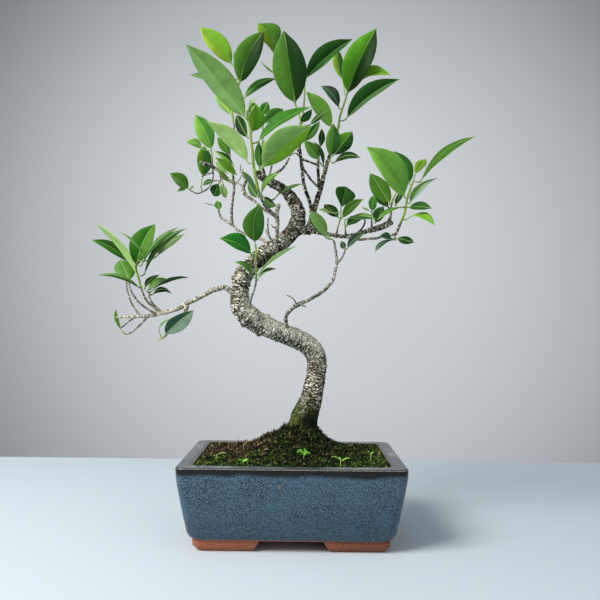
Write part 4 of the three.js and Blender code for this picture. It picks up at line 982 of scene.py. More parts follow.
TWIG_PLACES: dict[str, tuple[Place, ...]] = {
    "left_branch": (
        (240, 296, -11, 6), (231, 291, -13, 5.6), (225, 287.5, -14, 5.2), (218, 288.5, -14, 5),
        (209, 292, -14, 4.8), (199, 297.5, -13, 4.8), (189, 302.5, -12, 5), (179, 307.8, -9, 4.8),
        (169, 311.4, -6, 4.4), (158, 314, -2, 4), (147, 316, 1, 3.6), (135, 316.5, 4, 3),
        (116, 317.5, 8, 2.2),
    ),
    "left_knot": ((187, 303, -12, 4.6), (186.5, 308, -13, 4.4), (185.5, 311.5, -14, 3.2)),
    "left_twig_1": (
        (140, 316.3, 3, 2.2), (133, 306, 6, 2), (129, 297, 9, 1.9), (127.2, 290, 13, 1.8),
        (126.6, 284, 16, 1.8),
    ),
    "left_twig_2": (
        (157, 314, -2, 2.4), (149, 310, -4, 2.2), (142, 305, -4, 2), (136, 299, -3, 2),
        (131.5, 292, -2, 1.9), (129.5, 285.5, -1, 1.8),
    ),
    "left_twig_3": (
        (161, 313.5, -3, 2.4), (153, 307, -2, 2.3), (147, 301, 0, 2.2), (143, 294, 1, 2.2),
        (141, 287, 2, 2.2),
    ),
    "left_twig_4": (
        (163, 313, -4, 2.4), (156, 307, 2, 2.2), (151.5, 302, 6, 2), (149.5, 297.5, 8, 1.9),
    ),
    "left_twig_5": ((136, 316.4, 4, 2), (128, 322, 2, 1.7), (121, 328, 0, 1.4)),
    "left_twig_6": (
        (148, 316, 1, 2.2), (141, 324, 6, 2), (135, 329.5, 9, 1.8), (130, 333, 11, 1.8),
        (126.5, 334, 12, 1.8),
    ),
    "left_hanging_twig": (
        (186, 309, -13, 2.8), (181, 318, -15, 2.2), (174.5, 327, -17, 2), (168.5, 333, -18, 2),
    ),
    "back_branch": (
        (276, 246, 3, 5), (268, 242.5, 9, 3.6), (258, 238, 17, 3.4), (246, 234.5, 24, 3.2),
        (238.5, 231, 28, 3.2), (232.5, 225.5, 32, 3), (226, 221, 34, 2.8), (221, 217.5, 35, 2.6),
        (219, 212, 36, 2.2),
    ),
    "back_upright": (
        (232, 225, 32, 3.2), (231.5, 212, 33, 3), (232.5, 200, 34, 3), (234, 189, 34, 2.8),
        (233.5, 179, 33, 2.6), (231, 167, 31, 2.4), (229.5, 156, 29, 2.3), (229.5, 147, 28, 2.2),
        (231.5, 137, 26, 2.1), (234, 128, 24, 2),
    ),
    "back_side_twig": (
        (234, 184, 33, 2.6), (226.5, 177, 38, 2.6), (219, 171, 37, 3), (212.5, 167, 35, 3.8),
        (208, 165, 33, 4.6), (203.5, 163.5, 31, 4), (199.5, 162, 30, 4.2),
    ),
    "back_crown_nub": ((231.5, 170, 31, 2.4), (229, 166, 26.5, 1.8)),
    "back_left_nub": ((212.5, 167.5, 35, 2.4), (212.3, 163, 33.5, 2)),
    "back_drop_nub": ((220, 172, 37, 2.4), (220.8, 178.5, 38, 1.8)),
    "far_left_twig": (
        (212.7, 167.5, 35, 2.2), (213, 177, 34, 1.8), (211, 184, 32, 1.7), (207, 189, 30, 1.7),
        (202, 192, 28, 1.6), (196.5, 193.4, 26, 1.6), (191.5, 191, 25, 1.6),
    ),
    "far_left_side": ((213, 172, 34.5, 1.6), (207, 174.5, 31, 1.4), (201.5, 176.5, 28, 1.2)),
    "far_left_nub": ((202.5, 192, 28, 1.6), (201.3, 188, 30, 1.5)),
    "knob_twig": (
        (275, 251, -2, 5), (276, 242, -8, 4.2), (277, 232, -10, 3.8), (277.5, 222, -11, 3.8),
        (277.2, 213, -12, 3.8), (278, 206.5, -12, 4.6), (279.5, 204, -12, 4),
    ),
    "knob_curl": ((277, 227.5, -10, 1.8), (273, 227, -14, 1.4), (271, 224, -15, 1.2)),
    "front_twig": (
        (276.8, 217, -11, 3.6), (271, 212, -16, 3.4), (266, 207, -20, 3.2), (262, 200.5, -25, 3),
        (259.7, 194.5, -28, 3),
    ),
    "inner_stub": (
        (277, 216.5, -11, 3.2), (269, 212.5, -9, 3), (260, 207, -7, 3), (253, 200.5, -5, 3.2),
        (247, 196, -4, 3.6), (243.5, 191.5, -3, 4.4), (244, 186, -2, 3.4), (246.5, 180, 0, 3.6),
    ),
    "low_twig": (
        (275, 245.5, -4, 2.8), (271.5, 240, -11, 2.4), (268.5, 235.5, -13, 2.2), (266, 230, -15, 1.6),
    ),
    "pale_twig": ((269.3, 237, -12.5, 2), (267.6, 226, -18, 1.8), (268, 217.5, -21, 1.6)),
    "lower_twig": (
        (248, 310, -11, 2.8), (250.5, 301, -19, 2.2), (253, 293, -23, 2), (255, 286.5, -26, 2),
        (256, 281, -27, 2),
    ),
    "trunk_bud": ((322, 367, 6, 3), (327.5, 366, 2, 1.6)),
    "trunk_stub": ((258, 318, -12, 6), (253, 309.5, -15, 4.6)),
    "right_branch": (
        (299, 229, 13, 10), (307, 230.5, 15, 8.4), (314, 231, 17, 6), (322, 233, 19, 4.8),
        (331, 235, 20, 4.2), (341, 236.2, 20, 4), (351, 235.6, 19, 4.2), (361, 233, 17, 4.8),
        (370, 230.4, 14, 5.2), (379, 227.8, 11, 6.2), (386, 225, 8, 6.6), (392.5, 222, 5, 5),
    ),
    "right_low_branch": (
        (345, 236.4, 20, 3), (353, 239, 17, 2.8), (361, 239.4, 15, 2.7), (369, 238.8, 11, 2.6),
        (377, 238.2, 7, 2.6), (385, 235.5, 2, 2.7), (391, 234.5, -2, 2.8), (395, 234.5, -4, 3),
        (397.5, 230, -6, 2.9), (400.2, 224, -8, 2.8),
    ),
    "right_low_nub": ((394.5, 234.5, -4, 2.4), (395, 238, -6, 1.8)),
    "right_gnarl_up": ((388, 224.5, 8, 4), (390.5, 216, 9, 2.8), (391, 208.5, 10, 2.2)),
    "right_mid_nub": ((372, 230, 13, 3), (371.6, 223.5, 11, 1.8)),
    "right_curved_twig": (
        (357, 234, 18, 2.4), (362.5, 227.5, 22, 2), (365, 221, 24, 1.8), (361.5, 216.5, 25, 1.4),
    ),
    "trio_nub": ((336, 236, 20, 3), (337.2, 230.5, 17, 1.9)),
    "trio_low_nub": ((346, 236, 20, 3), (345.5, 231.5, 15, 1.8)),
    "rising_branch": (
        (287, 331, 0, 5), (286, 323, -4, 4.2), (285.6, 318, -6, 3.8), (287.5, 313.5, -8, 3.8),
        (292, 308.5, -9, 4), (298, 304.7, -10, 4.2), (306, 301.2, -11, 3.6), (314, 297, -11, 3.4),
        (322, 291.8, -10, 3.3), (328.5, 286, -9, 3.2), (333, 280, -8, 3.1), (335.3, 271, -6, 3),
        (336.8, 262, -5, 3), (336, 254, -4, 2.6), (334.6, 243.5, -1, 2.3),
    ),
    "rising_thorn_1": ((297, 305, -10, 1.6), (293, 298.5, -13, 1.2), (286.5, 295, -15, 0.8)),
    "rising_thorn_2": ((299, 304.5, -10, 1.8), (306, 306.5, -13, 1.2)),
    "rising_side": ((336.8, 263, -5, 2.4), (341.5, 258.5, -8, 2), (344, 253.5, -9, 1.8)),
    "upright_foot": (
        (306, 233, 15, 8), (309.5, 226, 15, 7), (312, 219, 14.5, 6.4), (313.5, 211, 14, 6.2),
    ),
    "upright_1": (
        (313, 213, 14, 4.2), (309, 200, 10, 3.8), (305.2, 189, 7, 3.6), (303, 179, 5, 3.5),
        (302, 168, 4, 3.5), (300.8, 158, 3, 3.3), (299.8, 149, 2, 3),
    ),
    "upright_1_fork": ((300.2, 153, 2.5, 2.4), (297, 149.5, -1, 1.6)),
    "upright_2": (
        (313, 213, 14, 6.2), (317, 200, 17, 5.8), (320.5, 189, 19, 5.2), (323, 179, 20, 4.8),
        (325.3, 170, 21, 4.2), (328, 160, 23, 3.6), (330.5, 153, 25, 3.2), (333, 146.5, 26, 2.9),
    ),
    "upright_2_nub": ((325, 172, 21, 3), (327.6, 164.5, 16.5, 2)),
    "upright_3": (
        (320.5, 191, 19, 4), (319, 184, 17, 3.4), (318.2, 174, 13, 3.2), (318, 163.5, 9, 3),
    ),
    "upright_link": (
        (301.5, 159, 3, 2.6), (307, 161, 5, 2.2), (312.5, 163, 8, 2.2), (318, 165, 10, 2.4),
    ),
    "upright_diagonal": (
        (302.2, 167, 4, 2.6), (307, 174, 9, 2.4), (312, 181, 14, 2.4), (318, 187, 18, 2.6),
    ),
    "crown_twiglet_1": (
        (246.5, 182, 0, 1.6), (243, 176, 2, 1.3), (240.5, 170, 4, 1), (241, 164, 5, 0.8),
    ),
    "crown_twiglet_2": (
        (244, 188, -3, 1.5), (238, 183, 2, 1.2), (233, 181.5, 5, 1), (228, 178, 7, 0.8),
    ),
    "back_twiglet_1": (
        (233.8, 186, 34, 1.6), (239, 180, 30, 1.2), (242.5, 174, 27, 1), (243, 168, 25, 0.8),
    ),
    "back_twiglet_2": ((229.6, 158, 29, 1.6), (226, 152, 26, 1.2), (225, 146, 24, 1)),
    "back_twiglet_3": (
        (224.5, 175.5, 37.5, 1.6), (222, 180, 34, 1.2), (223.5, 186, 31, 1), (221.5, 191, 30, 0.8),
    ),
    "upright_twiglet": ((300.5, 157, 3, 1.6), (295, 153, -2, 1.3), (289, 156.5, -5, 1)),
    "crown_fork": (
        (270, 181.5, 11, 4), (276, 173, 8, 3), (281.5, 169.5, 5, 2.6), (286, 163.5, 2, 2.4),
        (289.5, 157.5, 0, 1.6),
    ),
    "crown_twig": ((263, 177.5, 9, 4.4), (264, 172.5, 2, 3), (262.8, 168.5, -4, 2.4)),
    "crown_side_twig": ((268, 180.5, 10, 2.8), (270, 172.5, 5, 2), (272, 165.5, 2, 1.4)),
}  # fmt: skip


# ---- the pot
@dataclass
class Pot:
    """The fired pot.

    profile is the wall's (height, inset) from the underside to the rim, rim_rings are (inset,
    drop, nearness to the moss) over the flat rim, and inside_levels are heights inside. A
    foot's levels are (height, inset from the rim, gap along the front, gap at the side), its
    edges are bevelled where they turn by more than sharp, in radians, and flaws are the
    places where the glaze is bare, from the pot's middle.
    """

    middle: Vector
    width: float = 208.0
    depth: float = 144.0
    height: float = 77.5
    rim: float = 14.0
    rim_corner: float = 8.0
    cavity_corner: float = 6.0
    cavity_narrows: float = 4.0
    floor: float = 18.5
    profile: tuple[tuple[float, float], ...] = (
        (9.5, 16.5), (10.2, 13.6), (12, 11), (16, 9), (24, 7.4), (36, 5.2),
        (50, 2.9), (64, 0.8), (74, 0.05), (76, 0), (77.1, 0.3), (77.5, 1.2),
    )  # fmt: skip
    ring_gap: float = 1.6
    rim_rings: tuple[Point, ...] = (
        (3.2, 0.1, 0), (7, 0, 0), (10, 0, -0.45), (12.4, 0.1, -0.75), (13.2, 0.3, -0.85),
        (13.8, 0.8, -0.9),
    )  # fmt: skip
    inside_levels: tuple[float, ...] = (75.5, 66, 50, 34, 22)
    foot_inner: float = 32.5
    foot_levels: tuple[Place, ...] = (
        (0, 18.2, 70, 57), (4.6, 14.2, 64, 51), (10.7, 13.8, 57, 44),
    )  # fmt: skip
    foot_bevel: float = 0.7
    sharp: float = 0.9
    drain: float = 18.0
    drain_spacing: float = 100.0
    corner_steps: int = 9
    flaws: tuple[Point, ...] = ((-11, -71.5, 61), (12, -69, 29), (-55, -69.5, 26))

    def ring(self, inset: float, corner: float, height: float) -> list[Vector]:
        """A level ring in the outline of the pot, drawn in by an inset.

        Args:
            inset: how far in from the rim's outline.
            corner: radius of its corners.
            height: its height.

        Returns:
            Its points, anticlockwise from the right.
        """
        points = []
        for quarter in range(4):
            side_x = 1 if quarter in (0, 3) else -1
            side_y = 1 if quarter < 2 else -1
            for k in range(self.corner_steps + 1):
                angle = (quarter + k / self.corner_steps) * math.pi / 2
                x = side_x * (self.width / 2 - inset - corner) + corner * math.cos(angle)
                y = side_y * (self.depth / 2 - inset - corner) + corner * math.sin(angle)
                points.append(Vector((x, y, height)) + self.middle)
        return points

    def wall(self) -> list[tuple[list[Vector], float]]:
        """The wall's rings from the outer underside over the rim to the floor inside.

        Returns:
            Each ring with 1 on the pot's outside and below 0 near its mouth, else 0.
        """
        route = Route([Station(Vector((inset, 0, z)), 1) for z, inset in self.profile])
        rings = []
        for share in route.evenly(self.ring_gap):
            inset, _, height = route.point(share)
            corner = self.rim_corner + 0.5 * inset
            rings.append((self.ring(max(0.0, inset), corner, height), 1.0))
        for inset, drop, near in self.rim_rings:
            share = smooth(2, 13, inset)
            corner = mix(self.rim_corner, self.cavity_corner, share)
            rings.append((self.ring(inset, corner, self.height - drop), near))
        for height in (*self.inside_levels, self.floor):
            share = (self.height - height) / (self.height - self.floor)
            inset = self.rim + self.cavity_narrows * share
            rings.append((self.ring(inset, self.cavity_corner, height), -0.9))
        return rings

    def add_feet(self, work: Workpiece) -> None:
        """Adds the four corner feet, each an L that draws in below its middle.

        Args:
            work: the pot's piece.
        """
        half = Vector((self.width, self.depth)) / 2
        inner = half - Vector((self.foot_inner, self.foot_inner))
        corner = self.rim_corner
        plain_corners = 5
        for side_x, side_y in ((1, 1), (-1, 1), (-1, -1), (1, -1)):
            columns = plain_corners + self.corner_steps + 1
            rows = work.sheet(columns, len(self.foot_levels) - 1)
            for row, (z, inset, *gaps) in zip(rows, self.foot_levels):
                gap_x, gap_y = (gap / 2 for gap in gaps)
                outer = half - Vector((inset, inset))
                flat = [(gap_x, outer.y)]
                for k in range(self.corner_steps + 1):
                    angle = math.pi / 2 * (1 - k / self.corner_steps)
                    round_x = outer.x - corner + corner * math.cos(angle)
                    flat.append((round_x, outer.y - corner + corner * math.sin(angle)))
                flat += [(outer.x, gap_y), (inner.x, gap_y), (inner.x, inner.y), (gap_x, inner.y)]
                for vert, (x, y) in zip(row, [*flat, flat[0]]):
                    vert.co = Vector((side_x * x, side_y * y, z)) + self.middle
            work.close_tube(rows)
            kept = {v for row in rows for v in row if v.is_valid}
            edges = [e for e in work.bm.edges if set(e.verts) <= kept and len(e.link_faces) == 2]
            sharp = [e for e in edges if e.calc_face_angle(0) > self.sharp]
            bevel = {"offset": self.foot_bevel, "segments": 2, "profile": 0.5, "material": -1}
            bmesh.ops.bevel(work.bm, geom=sharp, affect="EDGES", **bevel)

    def cut_drains(self, work: Workpiece) -> None:
        """Cuts the two drain holes through the pot's floor.

        Args:
            work: the pot's piece, with its wall and floor alone.
        """
        pins = bmesh.new()
        for side in (-1, 1):
            centre = self.middle + Vector((side * self.drain_spacing / 2, 0, self.floor - 5))
            shape = {"radius1": self.drain / 2, "radius2": self.drain / 2, "depth": 30}
            place = Matrix.Translation(centre)
            bmesh.ops.create_cone(pins, cap_ends=True, segments=48, matrix=place, **shape)
        bmesh.ops.recalc_face_normals(work.bm, faces=work.bm.faces[:])
        holders = []
        for name, bm in (("pot_blank", work.bm), ("drain_cutter", pins)):
            mesh = bpy.data.meshes.new(name)
            bm.to_mesh(mesh)
            holders.append(stand(name, mesh))
        pins.free()
        blank, cutter = holders
        cut = blank.modifiers.new("drains", "BOOLEAN")
        cut.operation, cut.object, cut.solver = "DIFFERENCE", cutter, "EXACT"
        graph = bpy.context.evaluated_depsgraph_get()
        work.bm.clear()
        work.bm.from_object(blank, graph)
        for holder in holders:
            mesh = holder.data
            bpy.data.objects.remove(holder)
            bpy.data.meshes.remove(mesh)

    def build(self) -> None:
        """Builds the pot and dresses it in its glaze."""
        work = Workpiece("glazed_pot_body", (Attribute.OUTER,))
        rings = self.wall()
        rows = work.sheet(len(rings[0][0]), len(rings) - 1)
        outer = work.layer(Attribute.OUTER)
        for row, (points, outside) in zip(rows, rings):
            for vert, point in zip(row, [*points, points[0]]):
                vert.co = point
                vert[outer] = outside
        work.close_tube(rows)
        self.cut_drains(work)
        self.add_feet(work)
        flaws = tuple(tuple(self.middle + Vector(at)) for at in self.flaws)
        glaze = GlazedStoneware("glazed_stoneware", flaws=flaws).make()
        work.finish([glaze], ["pot"], "glazed_pot")


# ---- the moss
@dataclass
class MossBed:
    """The moss that fills the pot's mouth and mounds up round the trunk's foot.

    swells are (x, y, radius, rise), and stalks are runs of places in the view, each with how
    far it leans towards the eye. mound says how far from the trunk the clumps begin to rise
    and where they are full, from the first height of clump to the second. lights are how
    bright a strand's tip may be, which is partly painted light.
    """

    middle: Vector
    view: View
    trunk: tuple[float, float] = (10.0, 5.0)
    edge: float = 76.5
    under: float = 68.5
    half: tuple[float, float] = (89.2, 57.2)
    corner: float = 6.0
    rise: float = 35.0
    reach: tuple[float, float, float] = (42.0, 28.0, 34.0)
    steepness: float = 1.5
    cells: tuple[int, int] = (178, 114)
    mound: tuple[float, float] = (62, 20)
    clump: tuple[float, float] = (1.5, 3.4)
    clump_scale: float = 0.17
    tuft: float = 2.6
    tuft_scale: float = 0.4
    sprigs: int = 4200
    on_mound: float = 0.3
    mound_spread: tuple[float, float] = (20, 17)
    margin: float = 0.8
    strands: int = 8
    strand_length: tuple[float, float] = (1.5, 4.2)
    strand_lean: tuple[float, float] = (0.1, 1.15)
    strand_foot: tuple[float, float] = (0.35, 0.65)
    sprig_reach: float = 1.3
    sunk: float = 0.6
    lights: tuple[float, ...] = (0.06, 0.12, 0.25, 0.45, 0.8, 1.3, 2.2)
    # The centre of the moss's painted shade, near the trunk.
    shaded: Point = (14, 5, 96)
    dried: Point = (-58, 18, 78)
    swells: tuple[Place, ...] = (
        (-25, 4, 12, 4), (-9, 3, 9, 2), (34, 5, 11, -4), (-42, 6, 9, 1.8), (-78, 30, 24, -3.6),
        (24, 5, 7, 3), (-25, 4, 6, 2), (20, -20, 12, 2), (-6, -22, 10, 1.6), (62, 30, 20, -1.6),
    )  # fmt: skip
    stalks: tuple[tuple[Point, ...], ...] = (
        ((243, 450, 0), (244, 445, 1.5), (247, 441.5, 3), (250, 440, 3.5)),
        ((228, 449, 0), (228.3, 444, 1), (228, 441, 2)),
        ((281, 458.5, 0.5), (284.5, 460.5, 1), (288, 463, 0.5)),
        ((236, 446, 0), (237.5, 439.5, 1), (240, 435, 2)),
        ((257, 446, 0), (259, 443.5, 1), (262, 442.5, 1)),
        ((262, 452, 0), (266, 449, 1.5), (269, 449.5, 1)),
        ((347, 447, 0), (350, 445, 1), (354, 445.5, 1)),
        ((377, 460, 0), (378.5, 455, 2), (380, 451, 3)),
    )

    def height(self, x: float, y: float) -> float:
        """The moss's height at a place measured from the pot's centre.

        Args:
            x: to the right.
            y: to the back.

        Returns:
            The height over the table.
        """
        left, right, deep = self.reach
        from_x = x - self.trunk[0]
        far = math.hypot(from_x / (left if from_x < 0 else right), (y - self.trunk[1]) / deep)
        lumps = (
            1.1 * math.sin(x / 6.1 + 1) * math.cos(y / 5.3)
            + 0.8 * math.sin(x / 3.7 - y / 4.9)
            + 0.6 * math.cos(x / 9 + y / 2.9 + 2)
        )
        return self.edge + self.rise * math.exp(-(far**self.steepness)) + lumps

    def surface(self, x: float, y: float) -> Vector:
        """The moss's surface with its small lumps, in the row frame.

        Args:
            x: to the right of the pot's centre.
            y: to the back of it.

        Returns:
            The point.
        """
        at = Vector((x, y, 0))
        mound = smooth(*self.mound, math.hypot(x - self.trunk[0], y - self.trunk[1]))
        rough = mix(*self.clump, mound) * noise.noise(at * self.clump_scale)
        rough += self.tuft * noise.noise(at * self.tuft_scale)
        for from_x, from_y, radius, rise in self.swells:
            rough += rise * smooth(radius, 0, math.hypot(x - from_x, y - from_y))
        inside = min(self.half[0] - abs(x), self.half[1] - abs(y))
        calm = smooth(0, 5, inside)
        high = mix(min(self.height(x, y), self.edge + 0.4), self.height(x, y), calm)
        return self.middle + Vector((x, y, high - 1.2 + rough * mix(0.7, 1, calm)))

    def seen(self, across: float, down: float) -> Vector:
        """The point of the moss that the view shows at a place.

        Args:
            across: the place across the view.
            down: the place down the view.

        Returns:
            The point, in the row frame.
        """
        point = self.view.place((across, down, 0))
        for k in range(160):
            point = self.view.place((across, down, -42 + k * 0.6))
            flat = point - self.middle
            if point.z <= self.surface(flat.x, flat.y).z:
                break
        return point

    def bed(self, work: Workpiece) -> None:
        """Adds the solid bed that the strands grow from.

        Args:
            work: the moss's piece.
        """
        tip = work.layer(Attribute.TIP)
        rows = work.sheet(*self.cells)
        for row in rows:
            for vert in row:
                x, y = vert.co.x * self.half[0], vert.co.y * self.half[1]
                past = (abs(c) - side + self.corner for c, side in zip((x, y), self.half))
                over = Vector([max(0, c) for c in past])
                if over.x and over.y and over.length > self.corner:
                    pull = over * (1 - self.corner / over.length)
                    x -= math.copysign(pull.x, x)
                    y -= math.copysign(pull.y, y)
                vert.co = self.surface(x, y)
                # Painted shade: the bed under the strands gets a low tip value, which darkens it.
                vert[tip] = 0.15 + 0.35 * noise.noise(Vector((x, y, 3)) * 0.5)
        bmesh.ops.remove_doubles(work.bm, verts=work.bm.verts[:], dist=0.05)
        rim = [e for e in work.bm.edges if e.is_boundary]
        skirt = bmesh.ops.extrude_edge_only(work.bm, edges=rim)["geom"]
        for vert in (v for v in skirt if isinstance(v, bmesh.types.BMVert)):
            vert.co.z = self.under
        hem = [e for e in skirt if isinstance(e, bmesh.types.BMEdge) and e.is_boundary]
        bmesh.ops.holes_fill(work.bm, edges=hem, sides=0)

    def sprig(self, rng: random.Random) -> bpy.types.Mesh:
        """One sprig of moss: a few three-sided strands that lean apart.

        Args:
            rng: the source of its variety.

        Returns:
            The sprig, standing at the origin, in millimetres.
        """
        work = Workpiece("sprig", (Attribute.TIP,))
        tip = work.layer(Attribute.TIP)
        for _ in range(self.strands):
            tall = rng.uniform(*self.strand_length)
            lean = Matrix.Rotation(rng.uniform(*self.strand_lean), 4, "X")
            turn = Matrix.Rotation(rng.uniform(0, 2 * math.pi), 4, "Z")
            x, y = (rng.uniform(-self.sprig_reach, self.sprig_reach) for _ in range(2))
            place = Matrix.Translation((x, y, 0)) @ turn @ lean
            place = place @ Matrix.Translation((0, 0, tall / 2 - self.sunk))
            shape = {"radius1": rng.uniform(*self.strand_foot), "radius2": 0.04, "depth": tall}
            made = bmesh.ops.create_cone(
                work.bm, cap_ends=True, segments=3, matrix=place, **shape
            )["verts"]
            # Each strand gets a random tip brightness: painted light at the tip, painted shade at the
            # foot.
            light = rng.choice(self.lights)
            top = max(v.co.z for v in made)
            for vert in made:
                vert[tip] = light * smooth(-self.sunk, top, vert.co.z)
        return to_mesh("sprig", work.bm)

    def strew(self, work: Workpiece, rng: random.Random) -> None:
        """Strews sprigs over the bed, thickest on the mound.

        Args:
            work: the moss's piece.
            rng: the source of their places.
        """
        kinds = [self.sprig(rng) for _ in range(6)]
        wide, deep = (side - self.margin for side in self.half)
        for _ in range(self.sprigs):
            x, y = rng.uniform(-wide, wide), rng.uniform(-deep, deep)
            if rng.random() < self.on_mound:
                x = rng.gauss(self.trunk[0], self.mound_spread[0])
                y = rng.gauss(self.trunk[1] - 8, self.mound_spread[1])
            if abs(x) > wide or abs(y) > deep:
                continue
            at = self.surface(x, y)
            slope_x = (self.surface(x + self.margin, y).z - at.z) / self.margin
            slope_y = (self.surface(x, y + self.margin).z - at.z) / self.margin
            up = Vector((-slope_x, -slope_y, 1.6)).normalized()
            turn = up.to_track_quat("Z", "Y") @ Quaternion((0, 0, 1), rng.uniform(0, 6.28))
            size = rng.uniform(0.6, 1.15)
            place = Matrix.LocRotScale(at, turn, Vector((size, size, size)))
            copy = rng.choice(kinds).copy()
            copy.transform(place)
            work.bm.from_mesh(copy)
            bpy.data.meshes.remove(copy)

    def add_stalks(self, work: Workpiece) -> None:
        """Adds the dry stalks that stand in the moss, each from the point that the view shows.

        Args:
            work: the moss's piece.
        """
        for stalk in self.stalks:
            across, down, _ = stalk[0]
            depth = (self.seen(across, down).y - self.middle.y) / self.view.depth_step
            places = [(u, v, depth - lift) for u, v, lift in stalk]
            route = Route([Station(self.view.place(p), 0.3) for p in places])
            marks = {Attribute.TIP: 0.8, Attribute.STRAW: 1.0}
            sweep(work, route, 5, 1.2, lambda _spot: Skin(1.0, marks), (1.0, 0.5))

    def build(self) -> None:
        """Builds the bed and its strands as one piece, shaded by the trunk and dry at one end."""
        work = Workpiece("moss_cushion", (Attribute.TIP, Attribute.STRAW, Attribute.GRAIN))
        self.bed(work)
        self.strew(work, random.Random(SEED))
        self.add_stalks(work)
        trunk, dry = (tuple(self.middle + Vector(at)) for at in (self.shaded, self.dried))
        work.finish([LivingMoss("living_moss", trunk, dry).make()], ["moss"], "moss")


# ---- the trunk
@dataclass(frozen=True)
class Knob:
    """A swelling of the bark round a place of the view: its radius, rise and darkness."""

    place: tuple[float, float]
    radius: float
    rise: float
    dark: float = 0.0


@dataclass(frozen=True)
class Patch:
    """A stain on the bark round a place of the view, and how much of the bark it covers."""

    place: tuple[float, float]
    radius: float
    colour: str
    cover: float


@dataclass
class Tree:
    """The trunk with its branches and woody twigs, all one piece of wood.

    foot is (x, y, height, thickness). Pairs of heights say between which a look of the bark
    sets in, the first of them where it is still absent.
    """

    view: View
    middle: Vector
    foot: Place = (10, 5, 46, 29)
    foot_straight: float = 84.0
    sides: int = 84
    spacing: float = 0.78
    mossy: tuple[float, float] = (136, 110)
    old_bark: tuple[float, float] = (278, 324)
    # Heights over which the painted shade on the side away from the light deepens.
    deep_shade_heights: tuple[float, float] = (228, 250)
    # Heights between which the foot darkens, more on its right side as painted shade.
    darker_foot: tuple[float, float] = (182, 165)
    worn_from: tuple[float, float] = (160, 185)
    worn_until: tuple[float, float] = (246, 222)
    darkness: dict[str, float] = field(
        default_factory=lambda: {
            "left_branch": 0.25, "left_knot": 0.3, "right_branch": 0.75, "right_low_branch": 0.7,
            "rising_branch": 0.45, "rising_side": 0.5, "rising_thorn_1": 0.5,
            "rising_thorn_2": 0.7, "knob_twig": 0.25, "knob_curl": 0.4, "front_twig": 0.35,
            "low_twig": 0.1, "pale_twig": 0.0, "lower_twig": 0.45, "inner_stub": 0.6,
            "trunk_stub": 0.3, "back_branch": 0.4, "back_upright": 0.55, "upright_foot": 0.85,
            "upright_1": 1.0, "upright_2": 0.95, "upright_3": 1.0,
        }
    )  # fmt: skip
    usual_darkness: float = 0.6
    knobs: tuple[Knob, ...] = (
        Knob((268, 316.5), 5, 3, 0.3), Knob((273, 320), 4, 1.2, 0.2),
        Knob((254, 310.5), 4.4, 3.6, 0.8), Knob((262, 249), 5, 1.8), Knob((254, 256), 5, 1.4),
        Knob((268, 244), 4, 1.2), Knob((238, 318), 4.5, 1.6), Knob((243, 325), 4, 2.4, 0.2),
        Knob((258.5, 335), 4, 2.4, 0.3), Knob((276, 341), 4, 1.4, 0.3), Knob((303, 352), 4, 1),
        Knob((307, 370), 4, 1.2, 0.2), Knob((321, 375), 4.5, 1.2), Knob((318, 386), 5, 0.9),
        Knob((291, 412), 8, 0.8), Knob((285, 421), 7, 2.4), Knob((294, 234), 5, 1, 0.3),
        Knob((303.5, 212), 4.5, 1.4), Knob((304, 224), 6, 1.6, 0.3), Knob((302, 233), 6, 2.6, 0.5),
        Knob((285, 245), 5, 1), Knob((290, 214), 4, 1), Knob((234, 290), 4, 1.2),
    )  # fmt: skip
    patches: tuple[Patch, ...] = (
        Patch((297, 211), 9, "#eef0e8", 0.6), Patch((300, 203), 6, "#d5d9ce", 0.42),
        Patch((276, 187), 5, "#cfd3c8", 0.4), Patch((291, 223), 10, "#98a08e", 0.9),
        Patch((284, 241), 8, "#b9bfae", 0.75), Patch((285, 232), 4, "#93472a", 0.95),
        Patch((238, 270), 9, "#a4ab8e", 0.5), Patch((313, 367), 8, "#6d6746", 0.6),
    )  # fmt: skip
    scar: Point = (240.9, 281.8, -12)
    # The side away from the light, which painted shade darkens.
    shade_side: Vector = field(default_factory=lambda: Vector((0.78, -0.05, -0.62)))
    sun_side: Vector = field(default_factory=lambda: Vector((0.45, 0.0, 0.89)))

    def trunk_route(self) -> Route:
        """The trunk's route from its foot in the soil to the end of its top bend.

        Returns:
            The route.
        """
        x, y, bottom, thick = self.foot
        ends = (self.middle + Vector((x, y, z)) for z in (bottom, self.foot_straight))
        low = [Station(at, thick / 2) for at in ends]
        return Route(low + self.view.stations(TRUNK_PLACES))

    def on_bark(self, across: float, down: float) -> Vector:
        """The point of the trunk's front that the view shows at a place.

        Args:
            across: the place across the view.
            down: the place down the view.

        Returns:
            The point, at the trunk's middle depth if the place is beside the trunk.
        """
        found = (math.inf, 0.0, 0.0)
        for a, b in zip(TRUNK_PLACES, TRUNK_PLACES[1:]):
            step = Vector(b[:2]) - Vector(a[:2])
            share = (Vector((across, down)) - Vector(a[:2])).dot(step) / step.length_squared
            near = Vector(a).lerp(Vector(b), min(1.0, max(0.0, share)))
            off = math.hypot(across - near.x, down - near.y)
            found = min(found, (off, near.z, near.w / 2))
        off, depth, radius = found
        proud = math.sqrt(max(0.0, radius * radius - off * off))
        return self.view.place((across, down, depth - proud / self.view.depth_step))

    def shade(self, spot: Spot) -> tuple[float, float]:
        """How dark and how worn the trunk's bark is at a spot.

        Args:
            spot: the spot.

        Returns:
            The darkness and the wear, each 0 to 1.
        """
        # The darkness is older bark high up, a darker foot, and painted shade on the side away from the
        # light.
        high = spot.surface.z
        old = 0.92 * smooth(*self.old_bark, high)
        # Painted shade: the side away from the light, to the right and below, is darker, most of all up
        # the bend.
        shaded = smooth(0.2, 0.85, spot.way.dot(self.shade_side))
        depth = mix(0.25, 1.0, smooth(*self.deep_shade_heights, high))
        worn = smooth(-0.5, 0.5, spot.way.dot(self.sun_side)) * smooth(*self.worn_from, high)
        # Darker towards the foot, and more so on its right, which is painted shade away from the light.
        foot_darkness = 0.3 * smooth(*self.darker_foot, high) * (1 + 0.8 * spot.way.x)
        return max(old, foot_darkness, shaded * depth), worn * smooth(*self.worn_until, high)

